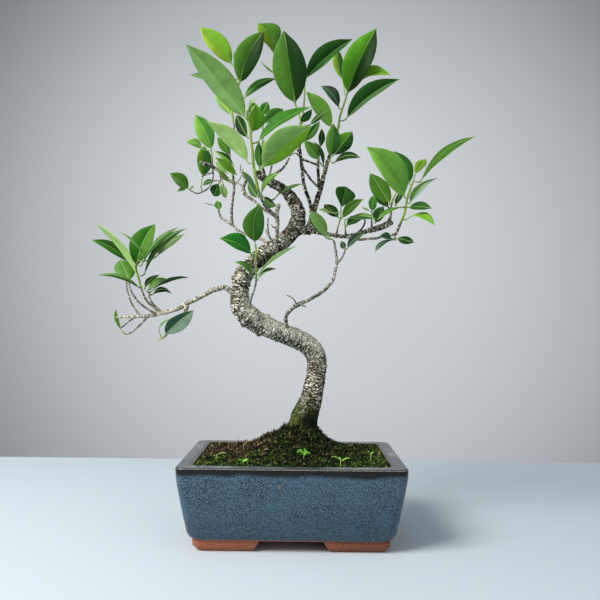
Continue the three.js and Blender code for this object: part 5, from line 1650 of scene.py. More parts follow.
    def bark(self, spot: Spot) -> Skin:
        """The trunk's bark at a spot: lumps, wrinkles across the stem, flakes and knobs.

        Args:
            spot: the spot.

        Returns:
            Its swell and its marks.
        """
        flat = spot.flat
        lumps = noise.noise(flat * 0.06)
        rings = noise.noise(spot.drawn(0.10, 0.34))
        wrinkle = noise.noise(spot.drawn(0.22, 0.72, 9))
        squeezed = spot.drawn(0.26, 0.44)
        squeezed += Vector((0.35, 0.35, 0.35)) * noise.noise(flat * 0.3)
        near, second = noise.voronoi(squeezed)[0][:2]
        crack = smooth(0.16, 0.03, second - near)
        dark, worn = self.shade(spot)
        above = smooth(100, 125, spot.surface.z)
        rise = 0.6 * lumps + (0.6 * rings + 0.5 * wrinkle - 0.4 * crack) * mix(0.4, 1, above)
        # Cracks and wrinkle hollows are marked sunken, where cracks widen as painted shade.
        sunken = (0.5 * crack + smooth(-0.3, -0.6, wrinkle) * 0.7) * (1 - 0.5 * worn)
        stain = (0.0, 0.0, 0.0, 0.0)
        for knob, centre in self.placed_knobs:
            near_it = smooth(knob.radius, 0, (spot.surface - centre).length)
            rise += knob.rise * near_it
            dark = max(dark, knob.dark * near_it)
        for patch, centre in self.placed_patches:
            cover = patch.cover * smooth(patch.radius, 0, (spot.surface - centre).length) ** 0.5
            if cover > stain[3]:
                stain = (*linear(patch.colour)[:3], cover)
        # The scar's ledge, and under it a sunken line that is painted shade.
        off = spot.along - self.scar_along + 2.3 * spot.way.x + 0.5 * math.sin(spot.angle * 3)
        ledge = smooth(0.9, -0.2, spot.way.x)
        rise += mix(0.7, 1.7, ledge) * hill(off, 1.4) - 1.1 * hill(off + 2.4, 0.9)
        sunken = max(min(1.0, sunken), hill(off + 2.2, 0.9))
        ragged = 9 * noise.noise(flat * 0.14) + 4 * spot.way.x
        green = smooth(*self.mossy, spot.surface.z + ragged)
        # Painted shade: the mossy foot is darker on the right side, away from the light.
        dark = max(dark, green * smooth(-0.7, 0.15, spot.way.x))
        marks = {
            Attribute.SUNKEN: sunken,
            Attribute.WORN: worn,
            Attribute.DARK: dark,
            Attribute.GREEN: green,
            Attribute.TINT: stain,
        }
        return Skin(1 + rise / spot.radius, marks)

    def twig_bark(self, dark: float) -> Relief:
        """The bark of a branch or twig: a collar where it starts, and knobbly leaf scars.

        Args:
            dark: how dark it is.

        Returns:
            Its relief.
        """

        def relief(spot: Spot) -> Skin:
            """The twig's skin at a spot.

            Args:
                spot: the spot.

            Returns:
                Its swell and its marks.
            """
            lumps = noise.noise(spot.drawn(0.3, 0.22, dark * 50))
            rings = noise.noise(spot.drawn(0.2, 0.8))
            collar = 0.3 * math.exp(-spot.along / 2.5)
            swell = 1 + collar + 0.2 * lumps + 0.09 * rings
            # Painted shade on the twig's side away from the light.
            under = smooth(0.0, 0.9, spot.way.dot(self.shade_side))
            marks = {
                # Ring hollows are marked sunken, where cracks widen as painted shade.
                Attribute.SUNKEN: smooth(-0.1, -0.6, rings) * 0.6,
                Attribute.WORN: 0.75,
                Attribute.TINT: (0.0, 0.0, 0.0, 0.0),
                Attribute.DARK: min(1, max(0, dark + 0.3 * lumps + 0.45 * under)),
            }
            return Skin(swell, marks)

        return relief

    def build(self) -> None:
        """Builds the trunk and every twig as one piece in its bark."""
        work = Workpiece("fig_trunk", BARKED)
        route = self.trunk_route()
        self.placed_knobs = [(knob, self.on_bark(*knob.place)) for knob in self.knobs]
        self.placed_patches = [(patch, self.on_bark(*patch.place)) for patch in self.patches]
        self.scar_along = route.along(self.view.place(self.scar))
        sweep(work, route, self.sides, self.spacing, self.bark, (1.0, 0.6))
        for name, places in TWIG_PLACES.items():
            twig = Route(self.view.stations(places))
            sides = 16 if places[0][3] > 4.5 else 10
            relief = self.twig_bark(self.darkness.get(name, self.usual_darkness))
            sweep(work, twig, sides, 1.0, relief, (1.0, 0.55))
        work.finish([FigBark("fig_bark").make()], ["trunk"], "bark")


# ---- leaves
class Tone(Enum):
    """The tones of a leaf's seen side: a leaf's green, made lighter or darker by painted light and
    shade.
    """

    NIGHT = "#12330b"
    DIM = "#1c4613"
    DARK = "#27561d"
    FERN = "#3c671f"
    DEEP_FRESH = "#33701c"
    SATURATED = "#216b21"
    MID = "#3f7a2b"
    GRASS = "#4b7a28"
    BRIGHT = "#539322"
    MEADOW = "#659a3d"
    APPLE = "#7db548"
    LIME = "#74ab2f"
    MUSTARD = "#6f9a1e"
    YELLOW = "#98c23a"
    OLIVE = "#5d7a34"
    SOFT = "#5f8f48"
    SAGE = "#749c52"
    PALE = "#83ad62"
    FROSTED = "#a6cb75"
    SMOKY = "#5c7c4c"
    MOSSY = "#426637"
    SOMBRE = "#25382b"
    DUSKY = "#345843"
    MISTY = "#618f60"
    SILVERY = "#93ad8f"


@dataclass(frozen=True)
class Leaf:
    """A leaf as the front view shows it, from its base to its tip.

    left and right are how far its blade shows on each side of the midrib, looking from the
    base to the tip, and bow is how far the midrib's middle lies to the right of the straight
    line, all in the view's units. wide is the blade's real width, or 0 where its length gives
    it, belly is where along it the blade is widest, and arch is the midrib's rise over its
    length. under shows the underside, and folded leans both halves up. A pair of tones is for
    the left and right halves.
    """

    at: Point
    tip: Point
    left: float
    right: float
    # Tones hold painted light and shade: a pair often darkens the half that faces away from the light.
    tone: Tone | tuple[Tone, Tone] = Tone.MID
    bow: float = 0.0
    wide: float = 0.0
    belly: float = 0.48
    arch: float = 0.04
    under: bool = False
    folded: bool = False


@dataclass(frozen=True)
class Shoot:
    """A leafy shoot: the woody twig it grows from, its green stems and its leaves."""

    twig: str
    stems: tuple[tuple[Place, ...], ...]
    leaves: tuple[Leaf, ...]


class Blade:
    """A leaf's real frame: where its midrib runs and how each of its halves spreads."""

    proportion = 2.6
    fullness = 0.85

    def __init__(self, view: View, leaf: Leaf) -> None:
        """Works out the frame from what the view shows.

        Args:
            view: the front view.
            leaf: the leaf.
        """
        self.leaf = leaf
        self.base = view.place(leaf.at)
        span = view.place(leaf.tip) - self.base
        self.length = span.length
        self.heading = span.normalized()
        to_eye = view.eye_point() - self.base
        self.scale = to_eye.length / view.distance
        to_eye.normalize()
        self.level = self.heading.cross(to_eye).normalized()
        facing = self.level.cross(self.heading)
        widest = leaf.wide or max(2 * leaf.left, 2 * leaf.right, self.length / self.proportion)
        self.half = widest / 2
        near = self.level.z > 0 if leaf.left == leaf.right else leaf.left < leaf.right
        left = self.lean(leaf.left) * (1 if leaf.folded or near else -1)
        right = self.lean(leaf.right) * (1 if leaf.folded or not near else -1)
        self.above = facing * (-1 if leaf.under else 1)
        self.to_left = self.above * math.sin(left) - self.level * math.cos(left)
        self.to_right = self.above * math.sin(right) + self.level * math.cos(right)
        across = (self.to_right - self.to_left).normalized()
        self.upper = across.cross(self.heading)

    def lean(self, shows: float) -> float:
        """The angle that a half leans by to show so wide."""
        return math.acos(min(1.0, shows * self.scale / self.half))

    def midrib(self, share: float) -> Vector:
        """The midrib's point at a share of the blade's length.

        Args:
            share: 0 at its base, 1 at its tip.

        Returns:
            The point.
        """
        hump = 4 * share * (1 - share)
        point = self.base + self.heading * (share * self.length)
        point += self.level * (hump * self.leaf.bow * self.scale)
        return point + self.above * (hump * self.leaf.arch * self.length)

    def width(self, share: float) -> float:
        """The blade's half width at a share of its length.

        Args:
            share: 0 at its base, 1 at its tip.

        Returns:
            The width in millimetres.
        """
        stretched = share ** (math.log(0.5) / math.log(self.leaf.belly))
        full = math.sin(math.pi * min(1.0, stretched)) ** self.fullness
        return self.half * full * mix(1, 0.72, smooth(0.8, 1.0, share))

    def out(self, side: float) -> tuple[Vector, Vector]:
        """Which way a half spreads, and its own upper normal.

        Args:
            side: below 0 on the left half, above 0 on the right.

        Returns:
            The spread and the normal.
        """
        spread = self.to_left if side < 0 else self.to_right
        normal = spread.cross(self.heading) if side > 0 else self.heading.cross(spread)
        if normal.dot(self.upper) < 0:
            normal = -normal
        return spread, self.upper.lerp(normal, smooth(0.0, 0.15, abs(side))).normalized()


# Each leaf's tones are its green with painted light and shade: halves and leaves that face away from the
# light, or sit deep in the crown, get the darker tones.
SHOOTS: dict[str, Shoot] = {
    "left_back_shoot": Shoot("left_twig_1", (
        ((127, 277, 19, 1.7), (127.8, 269, 20, 1.6), (128, 262, 20, 1.4)),
    ), (
        Leaf((128, 262, 20), (91, 240, 10), 4, 6, (Tone.DEEP_FRESH, Tone.DARK), 3.5, 14),
    )),
    "left_round_shoot": Shoot("left_twig_2", (
        ((129.5, 281.5, -1, 1.5),),
    ), (
        Leaf((129, 281, -1), (120, 259.5, 13), 9.6, 9.9, (Tone.SOFT, Tone.GRASS), 0.5, 21),
    )),
    "left_main_shoot": Shoot("left_twig_3", (
        ((139, 280, 1, 2.4), (137, 273, -1, 2.2), (136, 266, -1, 1.8), (137.5, 261, -1, 1.4)),
    ), (
        Leaf((138, 277, -1), (95, 223, -16), 3, 3, Tone.FROSTED, 5.2, belly=0.55, under=True),
        Leaf((144, 256.5, -8), (118, 231.5, -16), 1.1, 1.1, Tone.PALE, 3.2, 11),
        Leaf((136.5, 267, 0), (155.5, 224, 8), 12, 8.3, (Tone.DEEP_FRESH, Tone.GRASS), -3.8, 25),
        Leaf((142, 265, -5), (179, 227, -20), 2.5, 2.5, (Tone.SMOKY, Tone.DARK), -4.8, 18),
        Leaf((144.5, 274, -7), (187, 228, -26), 3.3, 3.3, (Tone.MOSSY, Tone.NIGHT), -7.5, 21, belly=0.4),
        Leaf((157, 256, 6), (185, 234, 14), 3.5, 3.5, Tone.SMOKY, -2.5, 13),
        Leaf((139, 287.5, -7), (96, 275.5, -22), 2.3, 2.3, (Tone.DARK, Tone.SOFT), 5, 14, belly=0.35),
    )),
    "left_inner_shoot": Shoot("left_twig_4", (
        ((149.8, 292.5, 7.5, 1.6),),
    ), (
        Leaf((145, 288, 8), (160, 275, 20), 3.2, 2.6, (Tone.NIGHT, Tone.DARK), -2.5, 10),
        Leaf((147.5, 292, 5), (168, 279, -2), 3.6, 3, (Tone.GRASS, Tone.SMOKY), -3.2, 10),
        Leaf((151, 292, 7), (189, 277.5, -4), 1.7, 1.7, (Tone.DIM, Tone.DARK), -4.6, 13),
        Leaf((152, 295, 9), (172, 294, 14), 2.8, 2.6, Tone.NIGHT, -5, 9),
    )),
    "left_tip_shoot": Shoot("left_twig_6", (
        ((121.5, 330.5, 13, 1.4),),
    ), (
        Leaf((121.5, 330.5, 13), (116, 309, 20), 2, 2, Tone.APPLE, -2, 8),
    )),
    "left_hanging_shoot": Shoot("left_hanging_twig", (
        ((163, 338, -19, 1.8), (157.5, 339.5, -19, 1.5)),
    ), (
        Leaf((165.5, 334.5, -22), (194, 310, -34), 7, 9.3, (Tone.DUSKY, Tone.SILVERY), -1.5, 19),
        Leaf((161, 336.5, -20), (172, 318.5, -24), 1.3, 1.3, (Tone.SILVERY, Tone.SMOKY), -6.3, 8),
    )),
    "back_bud_shoot": Shoot("back_branch", (
        ((219, 209, 36.5, 1.6),),
    ), (
        Leaf((219.3, 210, 34), (217, 200.5, 37), 3.8, 3.8, Tone.MID, 0, 8),
        Leaf((214, 205.3, 36), (204, 203, 33), 0.5, 0.5, Tone.MID, 0, 2),
    )),
    "back_crown_shoot": Shoot("back_crown_nub", (
        ((226.5, 162, 24, 1.5), (225, 158, 23, 1.2)),
        ((226.5, 162, 24, 1.1), (230, 169, 23, 1), (234, 173, 20, 1), (237, 175, 17, 0.9)),
    ), (
        Leaf((229.5, 154.5, 22), (217, 137, 19), 4, 5, (Tone.BRIGHT, Tone.GRASS)),
        Leaf((233.5, 165, 24), (214, 151, 17), 2.5, 3, (Tone.APPLE, Tone.DARK), 1.5, 9),
        Leaf((236.5, 174.5, 17), (215, 157, 4), 3, 4.6, Tone.LIME, 0, 10),
        Leaf((227, 173, 24), (215, 160.5, 19), 3.5, 2, Tone.FROSTED, 0, 8),
        Leaf((229.5, 182, 26), (217, 169, 22), 2.5, 2.5, Tone.OLIVE, 0, 8),
    )),
    "back_left_shoot": Shoot("back_left_nub", (
        ((212, 157, 32, 1.6), (211.5, 151, 31, 1.4)),
    ), (
        Leaf((211.5, 150, 31), (195, 114.5, 28), 9, 8.4, (Tone.APPLE, Tone.MID), 2, 21, folded=True),
        Leaf((202, 148.6, 29), (186, 142, 24), 4, 4, Tone.APPLE, 3, 9),
    )),
    "back_drop_shoot": Shoot("back_drop_nub", (
        ((220.5, 181.5, 38, 1.5),),
    ), (
        Leaf((218.5, 183.5, 38), (214, 196.5, 46), 5, 7, Tone.DARK, 0, 14),
        Leaf((220.5, 184, 37), (226, 198.5, 42), 4.4, 3, Tone.FROSTED, 0, 9),
        Leaf((214, 181, 36.5), (202.5, 185.5, 39), 2.2, 2.7, Tone.DARK, 1.2, 7),
    )),
    "far_left_shoot": Shoot("far_left_twig", (
        ((188.5, 188.5, 24, 1.4),),
    ), (
        Leaf((188.5, 188.5, 24), (169.5, 173, 16), 4.8, 7.8, (Tone.SOFT, Tone.GRASS), 0.5, 16),
        Leaf((186, 188, 22), (177, 191.5, 16), 1.5, 2.5, Tone.MID, 0, 5),
        Leaf((190, 189, 23), (194, 185.5, 21), 1.2, 1.2, Tone.OLIVE, 0, 3),
    )),
    "far_left_back_shoot": Shoot("far_left_nub", (
        ((201.3, 183, 36, 1.4), (202.3, 178.5, 42, 1.3)),
    ), (
        Leaf((202.7, 177, 43), (204, 146, 48), 6.5, 9.5, (Tone.LIME, Tone.DARK), 0, 20),
    )),
    "back_top_shoot": Shoot("back_upright", (
        (
            (233, 120, 23, 2.2), (232.5, 111, 22, 2.2), (234.5, 99, 20, 2.1), (238, 88, 18, 2),
            (238, 77, 17, 1.8), (235, 68.5, 16, 1.5),
        ),
    ), (
        Leaf((231.5, 115, 22), (215, 95, 26), 4, 4, (Tone.PALE, Tone.YELLOW), 0, 10),
        Leaf((239.5, 84, 16), (265, 30, 4), 13.4, 10, (Tone.GRASS, Tone.NIGHT), -3.6, 28, folded=True),
        Leaf((232.3, 64.5, 16), (200, 27, 10), 6.5, 11.5, (Tone.YELLOW, Tone.LIME), 0, 25),
        Leaf((244, 98.5, 18), (277, 78.5, 24), 4, 4, (Tone.DEEP_FRESH, Tone.DARK), -4.3, 13),
        Leaf((222, 82, 22), (189, 75, 30), 3, 3, (Tone.SMOKY, Tone.DARK), 2, 12),
        Leaf((236, 64, 14), (235, 50.5, 12), 2.5, 1.5, Tone.BRIGHT, 0, 5),
    )),
    "front_shoot": Shoot("front_twig", (
        (
            (257, 185, -30, 3), (255, 175, -32, 3), (253.5, 165, -33, 2.8), (252.5, 152, -34, 2.8),
            (251, 140, -35, 2.6), (250, 128, -36, 2.4), (247.5, 119, -37, 2),
        ),
    ), (
        Leaf((246.5, 119.5, -38), (185, 43.5, -62), 10.8, 14, (Tone.PALE, Tone.SAGE), 2, 28, under=True),
        Leaf((261.5, 168.5, -36), (312, 126, -54), 15.5, 11, (Tone.SAGE, Tone.LIME), -3, 31, under=True),
        Leaf((257.5, 142, -37), (312, 107, -42), 7.5, 2.5, Tone.DEEP_FRESH, -4, 21),
        Leaf((248, 162.5, -37), (206, 121, -54), 5.2, 10.5, Tone.FROSTED, 3, 23, under=True),
        Leaf((251.8, 132.5, -33), (254.5, 102.5, -22), 6.4, 11, (Tone.LIME, Tone.BRIGHT), 1, 22),
        Leaf((247.5, 137.5, -32), (236, 115, -22), 6, 5, (Tone.NIGHT, Tone.DIM)),
        Leaf((261.5, 195, -31), (280, 173, -42), 3, 2.8, Tone.GRASS, -5, 11),
        Leaf((274, 199.3, -30), (304, 184, -44), 1.4, 1.4, (Tone.MOSSY, Tone.DIM), -3.4, 11),
        Leaf((256, 189.5, -32), (241, 171, -44), 2.8, 2.8, Tone.MISTY, 1, 10),
        Leaf((258, 197.5, -24), (248, 182, -14), 5, 4.5, (Tone.MOSSY, Tone.DARK), 0, 11),
        Leaf((264, 198, -31), (276.5, 206, -36), 3, 6, (Tone.DIM, Tone.MOSSY), 0, 12),
        Leaf((248.5, 124, -37), (246.8, 110, -34), 1.2, 1.2, Tone.YELLOW, 0, 4),
        Leaf((249.5, 108, -38), (257, 98.5, -43), 1.6, 1.2, Tone.PALE, -2, 4),
        Leaf((251, 112, -38), (258.5, 104, -40), 0.7, 0.7, Tone.FROSTED, -1.5, 3),
    )),
    "lower_shoot": Shoot("lower_twig", (
        ((256, 270, -29, 2.2), (255.5, 260, -30, 2), (256, 250, -31, 2), (255, 243, -32, 1.7)),
    ), (
        Leaf((255, 242.5, -32), (260, 203.5, -42), 10.9, 10.5, (Tone.GRASS, Tone.DARK),
             -3.5, 22, folded=True),
        Leaf((251.5, 254, -32), (219.5, 238.5, -38), 4.9, 10.9, Tone.SATURATED, 2.9, 22),
        Leaf((252.5, 277.5, -29), (234, 262, -36), 2.5, 3, Tone.MID, 5, 10),
        Leaf((258, 275, -29), (297, 246, -40), 2, 2, Tone.SMOKY, -4, 13),
        Leaf((258, 280, -29), (277, 269, -32), 1.8, 1.8, (Tone.MID, Tone.SOFT), -4.2, 9),
    )),
    "right_front_shoot": Shoot("right_low_branch", (
        (
            (403, 217, -10, 2.7), (405.2, 210, -11, 2.5), (406.3, 203, -12, 2.5),
            (408.5, 194, -13, 2.3), (411.5, 186, -13, 2.1), (414, 178, -12, 1.8),
        ),
    ), (
        Leaf((404.5, 197, -15), (366, 146.5, -32), 9.3, 15.6, (Tone.APPLE, Tone.MEADOW), 4.5, 31),
        Leaf((409.5, 184, -9), (394, 151, 0), 6, 10.5, Tone.DARK, 0, 22),
        Leaf((415, 174, -12), (426, 159, -8), 6, 3.5, (Tone.MUSTARD, Tone.OLIVE), 0, 12),
        Leaf((421, 181, -15), (476, 136.5, -38), 4, 4, Tone.FERN, -7.2, 22),
        Leaf((410, 203, -12), (438, 178, 0), 3.8, 3.2, (Tone.GRASS, Tone.SILVERY), -4.6, 13, belly=0.4),
        Leaf((409, 207.2, -13), (432, 208.5, -24), 5.5, 3, Tone.DARK, -0.8, 12),
        Leaf((406, 220, -10), (435, 226, -26), 3, 2.9, Tone.LIME, -7.9, 12, belly=0.55),
        Leaf((403, 207.5, -15), (378, 220, -34), 2, 2, Tone.GRASS, 3.4, 12),
    )),
    "right_back_shoot": Shoot("right_gnarl_up", (
        ((392.5, 201, 11, 2), (395.5, 194, 11, 1.7), (397.8, 189, 11, 1.3)),
    ), (
        Leaf((390, 204, 9), (370, 173, 12), 8.7, 8.7, Tone.GRASS, 0, 20),
        Leaf((386, 186, 16), (376, 196, 20), 2.2, 2.2, (Tone.MID, Tone.DARK), 0, 7),
        Leaf((388.5, 207.5, 14), (375, 195, 24), 3.5, 4, Tone.DARK, 0, 10),
        Leaf((396, 205, 14), (402, 190, 24), 3, 3, Tone.DARK, 0, 9),
    )),
    "right_mid_shoot": Shoot("right_mid_nub", (
        ((371.5, 217, 9, 1.6), (372, 212, 8, 1.4)),
    ), (
        Leaf((372, 211, 8), (374, 194.5, 2), 4.5, 4, Tone.MID, 0, 10),
        Leaf((375.5, 222.5, 7), (384, 206, 2), 7, 4.5, (Tone.DARK, Tone.NIGHT), 0, 14),
        Leaf((370, 211, 9), (361.5, 207, 12), 1, 1, Tone.BRIGHT, 0, 3),
    )),
    "right_low_shoot": Shoot("right_low_nub", (
        ((395.5, 240, -7, 1.4),),
    ), (
        Leaf((393, 240, -8), (375, 252.5, -16), 2.3, 2.3, Tone.DUSKY, 3.5, 9),
        Leaf((397.3, 238.2, -9), (414.5, 242.5, -16), 4, 4, Tone.DIM, 0, 9),
        Leaf((391.5, 238.5, -9), (379, 236.5, -14), 1.5, 5.5, Tone.DUSKY, 0, 11),
    )),
    "trio_shoot": Shoot("trio_nub", (
        ((339, 223, 14, 1.8), (340.6, 217, 13, 1.6), (341, 209, 12, 1.4)),
    ), (
        Leaf((341, 208, 12), (346, 186.5, 16), 9.5, 11.5, Tone.DARK, 0, 24, belly=0.62),
        Leaf((342, 218, 9), (363.5, 199, -2), 6, 3.5, Tone.FERN, -1.5, 13),
        Leaf((338.5, 217.5, 16), (324, 204.5, 22), 4.5, 6, Tone.DIM, 0, 13),
        Leaf((331, 212.5, 14), (318.5, 209.3, 12), 1.5, 2.5, (Tone.SILVERY, Tone.SAGE), 0, 6),
    )),
    "trio_low_shoot": Shoot("trio_low_nub", (
        ((345.3, 226, 12, 1.6), (344.6, 221.5, 10, 1.4)),
    ), (
        Leaf((345.5, 220, 8), (375.5, 219, -4), 3.4, 2.6, (Tone.SAGE, Tone.MOSSY), -3, 12, belly=0.6),
        Leaf((346.5, 226, 14), (362, 218.5, 22), 5.5, 3, Tone.DARK, -1.5, 12),
    )),
    "rising_shoot": Shoot("rising_branch", (
        ((332.5, 239.5, -2, 1.8),),
    ), (
        Leaf((327, 235.5, -4), (308.6, 210, -12), 5.2, 6.8, (Tone.PALE, Tone.SAGE), 0.5, 14),
        Leaf((325, 236.5, 0), (308.5, 215, 0), 3.5, 3, Tone.DARK, 0, 11),
    )),
    "rising_side_shoot": Shoot("rising_side", (
        ((345, 250, -9.5, 1.5),),
    ), (
        Leaf((344.7, 249, -9.5), (341, 241, -11), 3, 3, Tone.DUSKY, 0, 6.5),
        Leaf((347, 248.5, -10), (365, 233, -14), 4.5, 2.6, (Tone.SOMBRE, Tone.DUSKY), -2, 10),
    )),
    "right_crown_shoot": Shoot("upright_2", (
        (
            (336, 136, 26, 2.8), (338.5, 127, 26, 2.6), (339.6, 118, 26, 2.4),
            (341.8, 110.5, 25, 2.2), (344.3, 103, 24, 2), (346.3, 97, 23, 1.8),
        ),
    ), (
        Leaf((347, 95, 23), (376.5, 28, 14), 16.3, 11, (Tone.BRIGHT, Tone.NIGHT), -1.7, 34, folded=True),
        Leaf((342.5, 80, 30), (338, 48.5, 34), 4.7, 6, (Tone.YELLOW, Tone.DARK), -2.5, 14),
        Leaf((359, 82.5, 28), (391, 75.5, 14), 7, 2.8, Tone.LIME, -6, 15),
        Leaf((346, 119, 22), (400, 79, 8), 11.5, 3.4, (Tone.DIM, Tone.MOSSY), -4, 25),
        Leaf((338.8, 108, 28), (320.5, 86, 36), 4, 6.4, (Tone.DUSKY, Tone.SOMBRE), 3.5, 14),
        Leaf((331.5, 128, 22), (306, 91.5, 16), 6.4, 8.3, Tone.APPLE, 2, 18),
    )),
    "middle_right_shoot": Shoot("upright_2_nub", (
        ((330, 159.5, 14, 1.7), (331, 156, 13, 1.5)),
    ), (
        Leaf((330.8, 156.5, 13), (333, 123, 4), 7, 7.5, (Tone.MEADOW, Tone.DARK), 1, 17, folded=True),
        Leaf((333.5, 155.5, 15), (352.5, 131.5, 18), 9, 8, (Tone.BRIGHT, Tone.DIM), 0, 19),
        Leaf((334, 163, 12), (361, 158, 0), 4, 3.2, Tone.NIGHT, -4.5, 11),
    )),
    "middle_shoot": Shoot("upright_3", (
        ((318.2, 157.5, 7, 1.8), (319, 150, 8, 1.5)),
    ), (
        Leaf((319.5, 159, 4), (304, 140.5, -5), 5.4, 6.2, (Tone.MEADOW, Tone.GRASS), 0, 13),
        Leaf((323.5, 166, 8), (313.5, 141.5, 0), 2.2, 2.2, Tone.NIGHT, 3, 10),
        Leaf((320, 147, 8), (322, 128.5, 10), 2.5, 4, (Tone.NIGHT, Tone.DIM), 0, 9),
    )),
    "centre_crown_shoot": Shoot("upright_1", (
        ((300.3, 140, 2, 2.6), (301, 128, 4, 2.4), (299.5, 116, 5, 2.2), (296.3, 107, 5, 1.8)),
        ((301, 126, 4, 1.9), (303.5, 110, 9, 1.8), (304.5, 95, 13, 1.7), (304.8, 82, 15, 1.5)),
        ((300, 118, 5, 1.9), (293, 98, 18, 1.8), (283, 76, 28, 1.7), (275, 58, 31, 1.5)),
    ), (
        Leaf((295.3, 105, 5), (283.5, 30, -8), 17.2, 15.2, (Tone.GRASS, Tone.NIGHT),
             0.7, 36, folded=True),
        Leaf((305, 79.5, 15), (353, 39, 6), 12, 4, (Tone.DIM, Tone.DARK), -2.8, 25),
        Leaf((273.8, 54.5, 31), (257.5, 23.5, 25), 8, 16, (Tone.MUSTARD, Tone.GRASS),
             4.5, 28, belly=0.58),
        Leaf((277.5, 75, 27), (260, 61, 21), 0.9, 0.9, Tone.PALE, -1, 7),
        Leaf((300.5, 122, 0), (312, 109, -6), 3, 5, Tone.DARK, 0, 10),
        Leaf((304.5, 141.5, 2), (320, 121, -8), 4, 4.5, (Tone.DEEP_FRESH, Tone.SAGE), 0, 11),
        Leaf((310, 124.5, 6), (326, 111, 0), 3, 2.6, (Tone.DARK, Tone.NIGHT), 0, 9),
    )),
    "inner_crown_shoot": Shoot("crown_twig", (
        (
            (262, 160, -9, 2.2), (262, 148, -10, 2), (263, 135, -10, 1.8), (262.5, 124, -10, 1.6),
            (262, 116, -10, 1.4),
        ),
    ), (
        Leaf((259.5, 168, -10), (259, 141, -20), 4.6, 3.6, (Tone.MID, Tone.DARK), 0, 10),
        Leaf((262.5, 155, -10), (264.5, 140, -14), 1.4, 1.4, Tone.YELLOW, 0, 4),
        Leaf((262, 115, -10), (267.5, 101.5, -8), 5, 5, Tone.DEEP_FRESH, 0, 10),
        Leaf((263.5, 124, -12), (283.5, 109, -4), 7.5, 4, (Tone.MID, Tone.FERN), 0, 15),
    )),
}  # fmt: skip


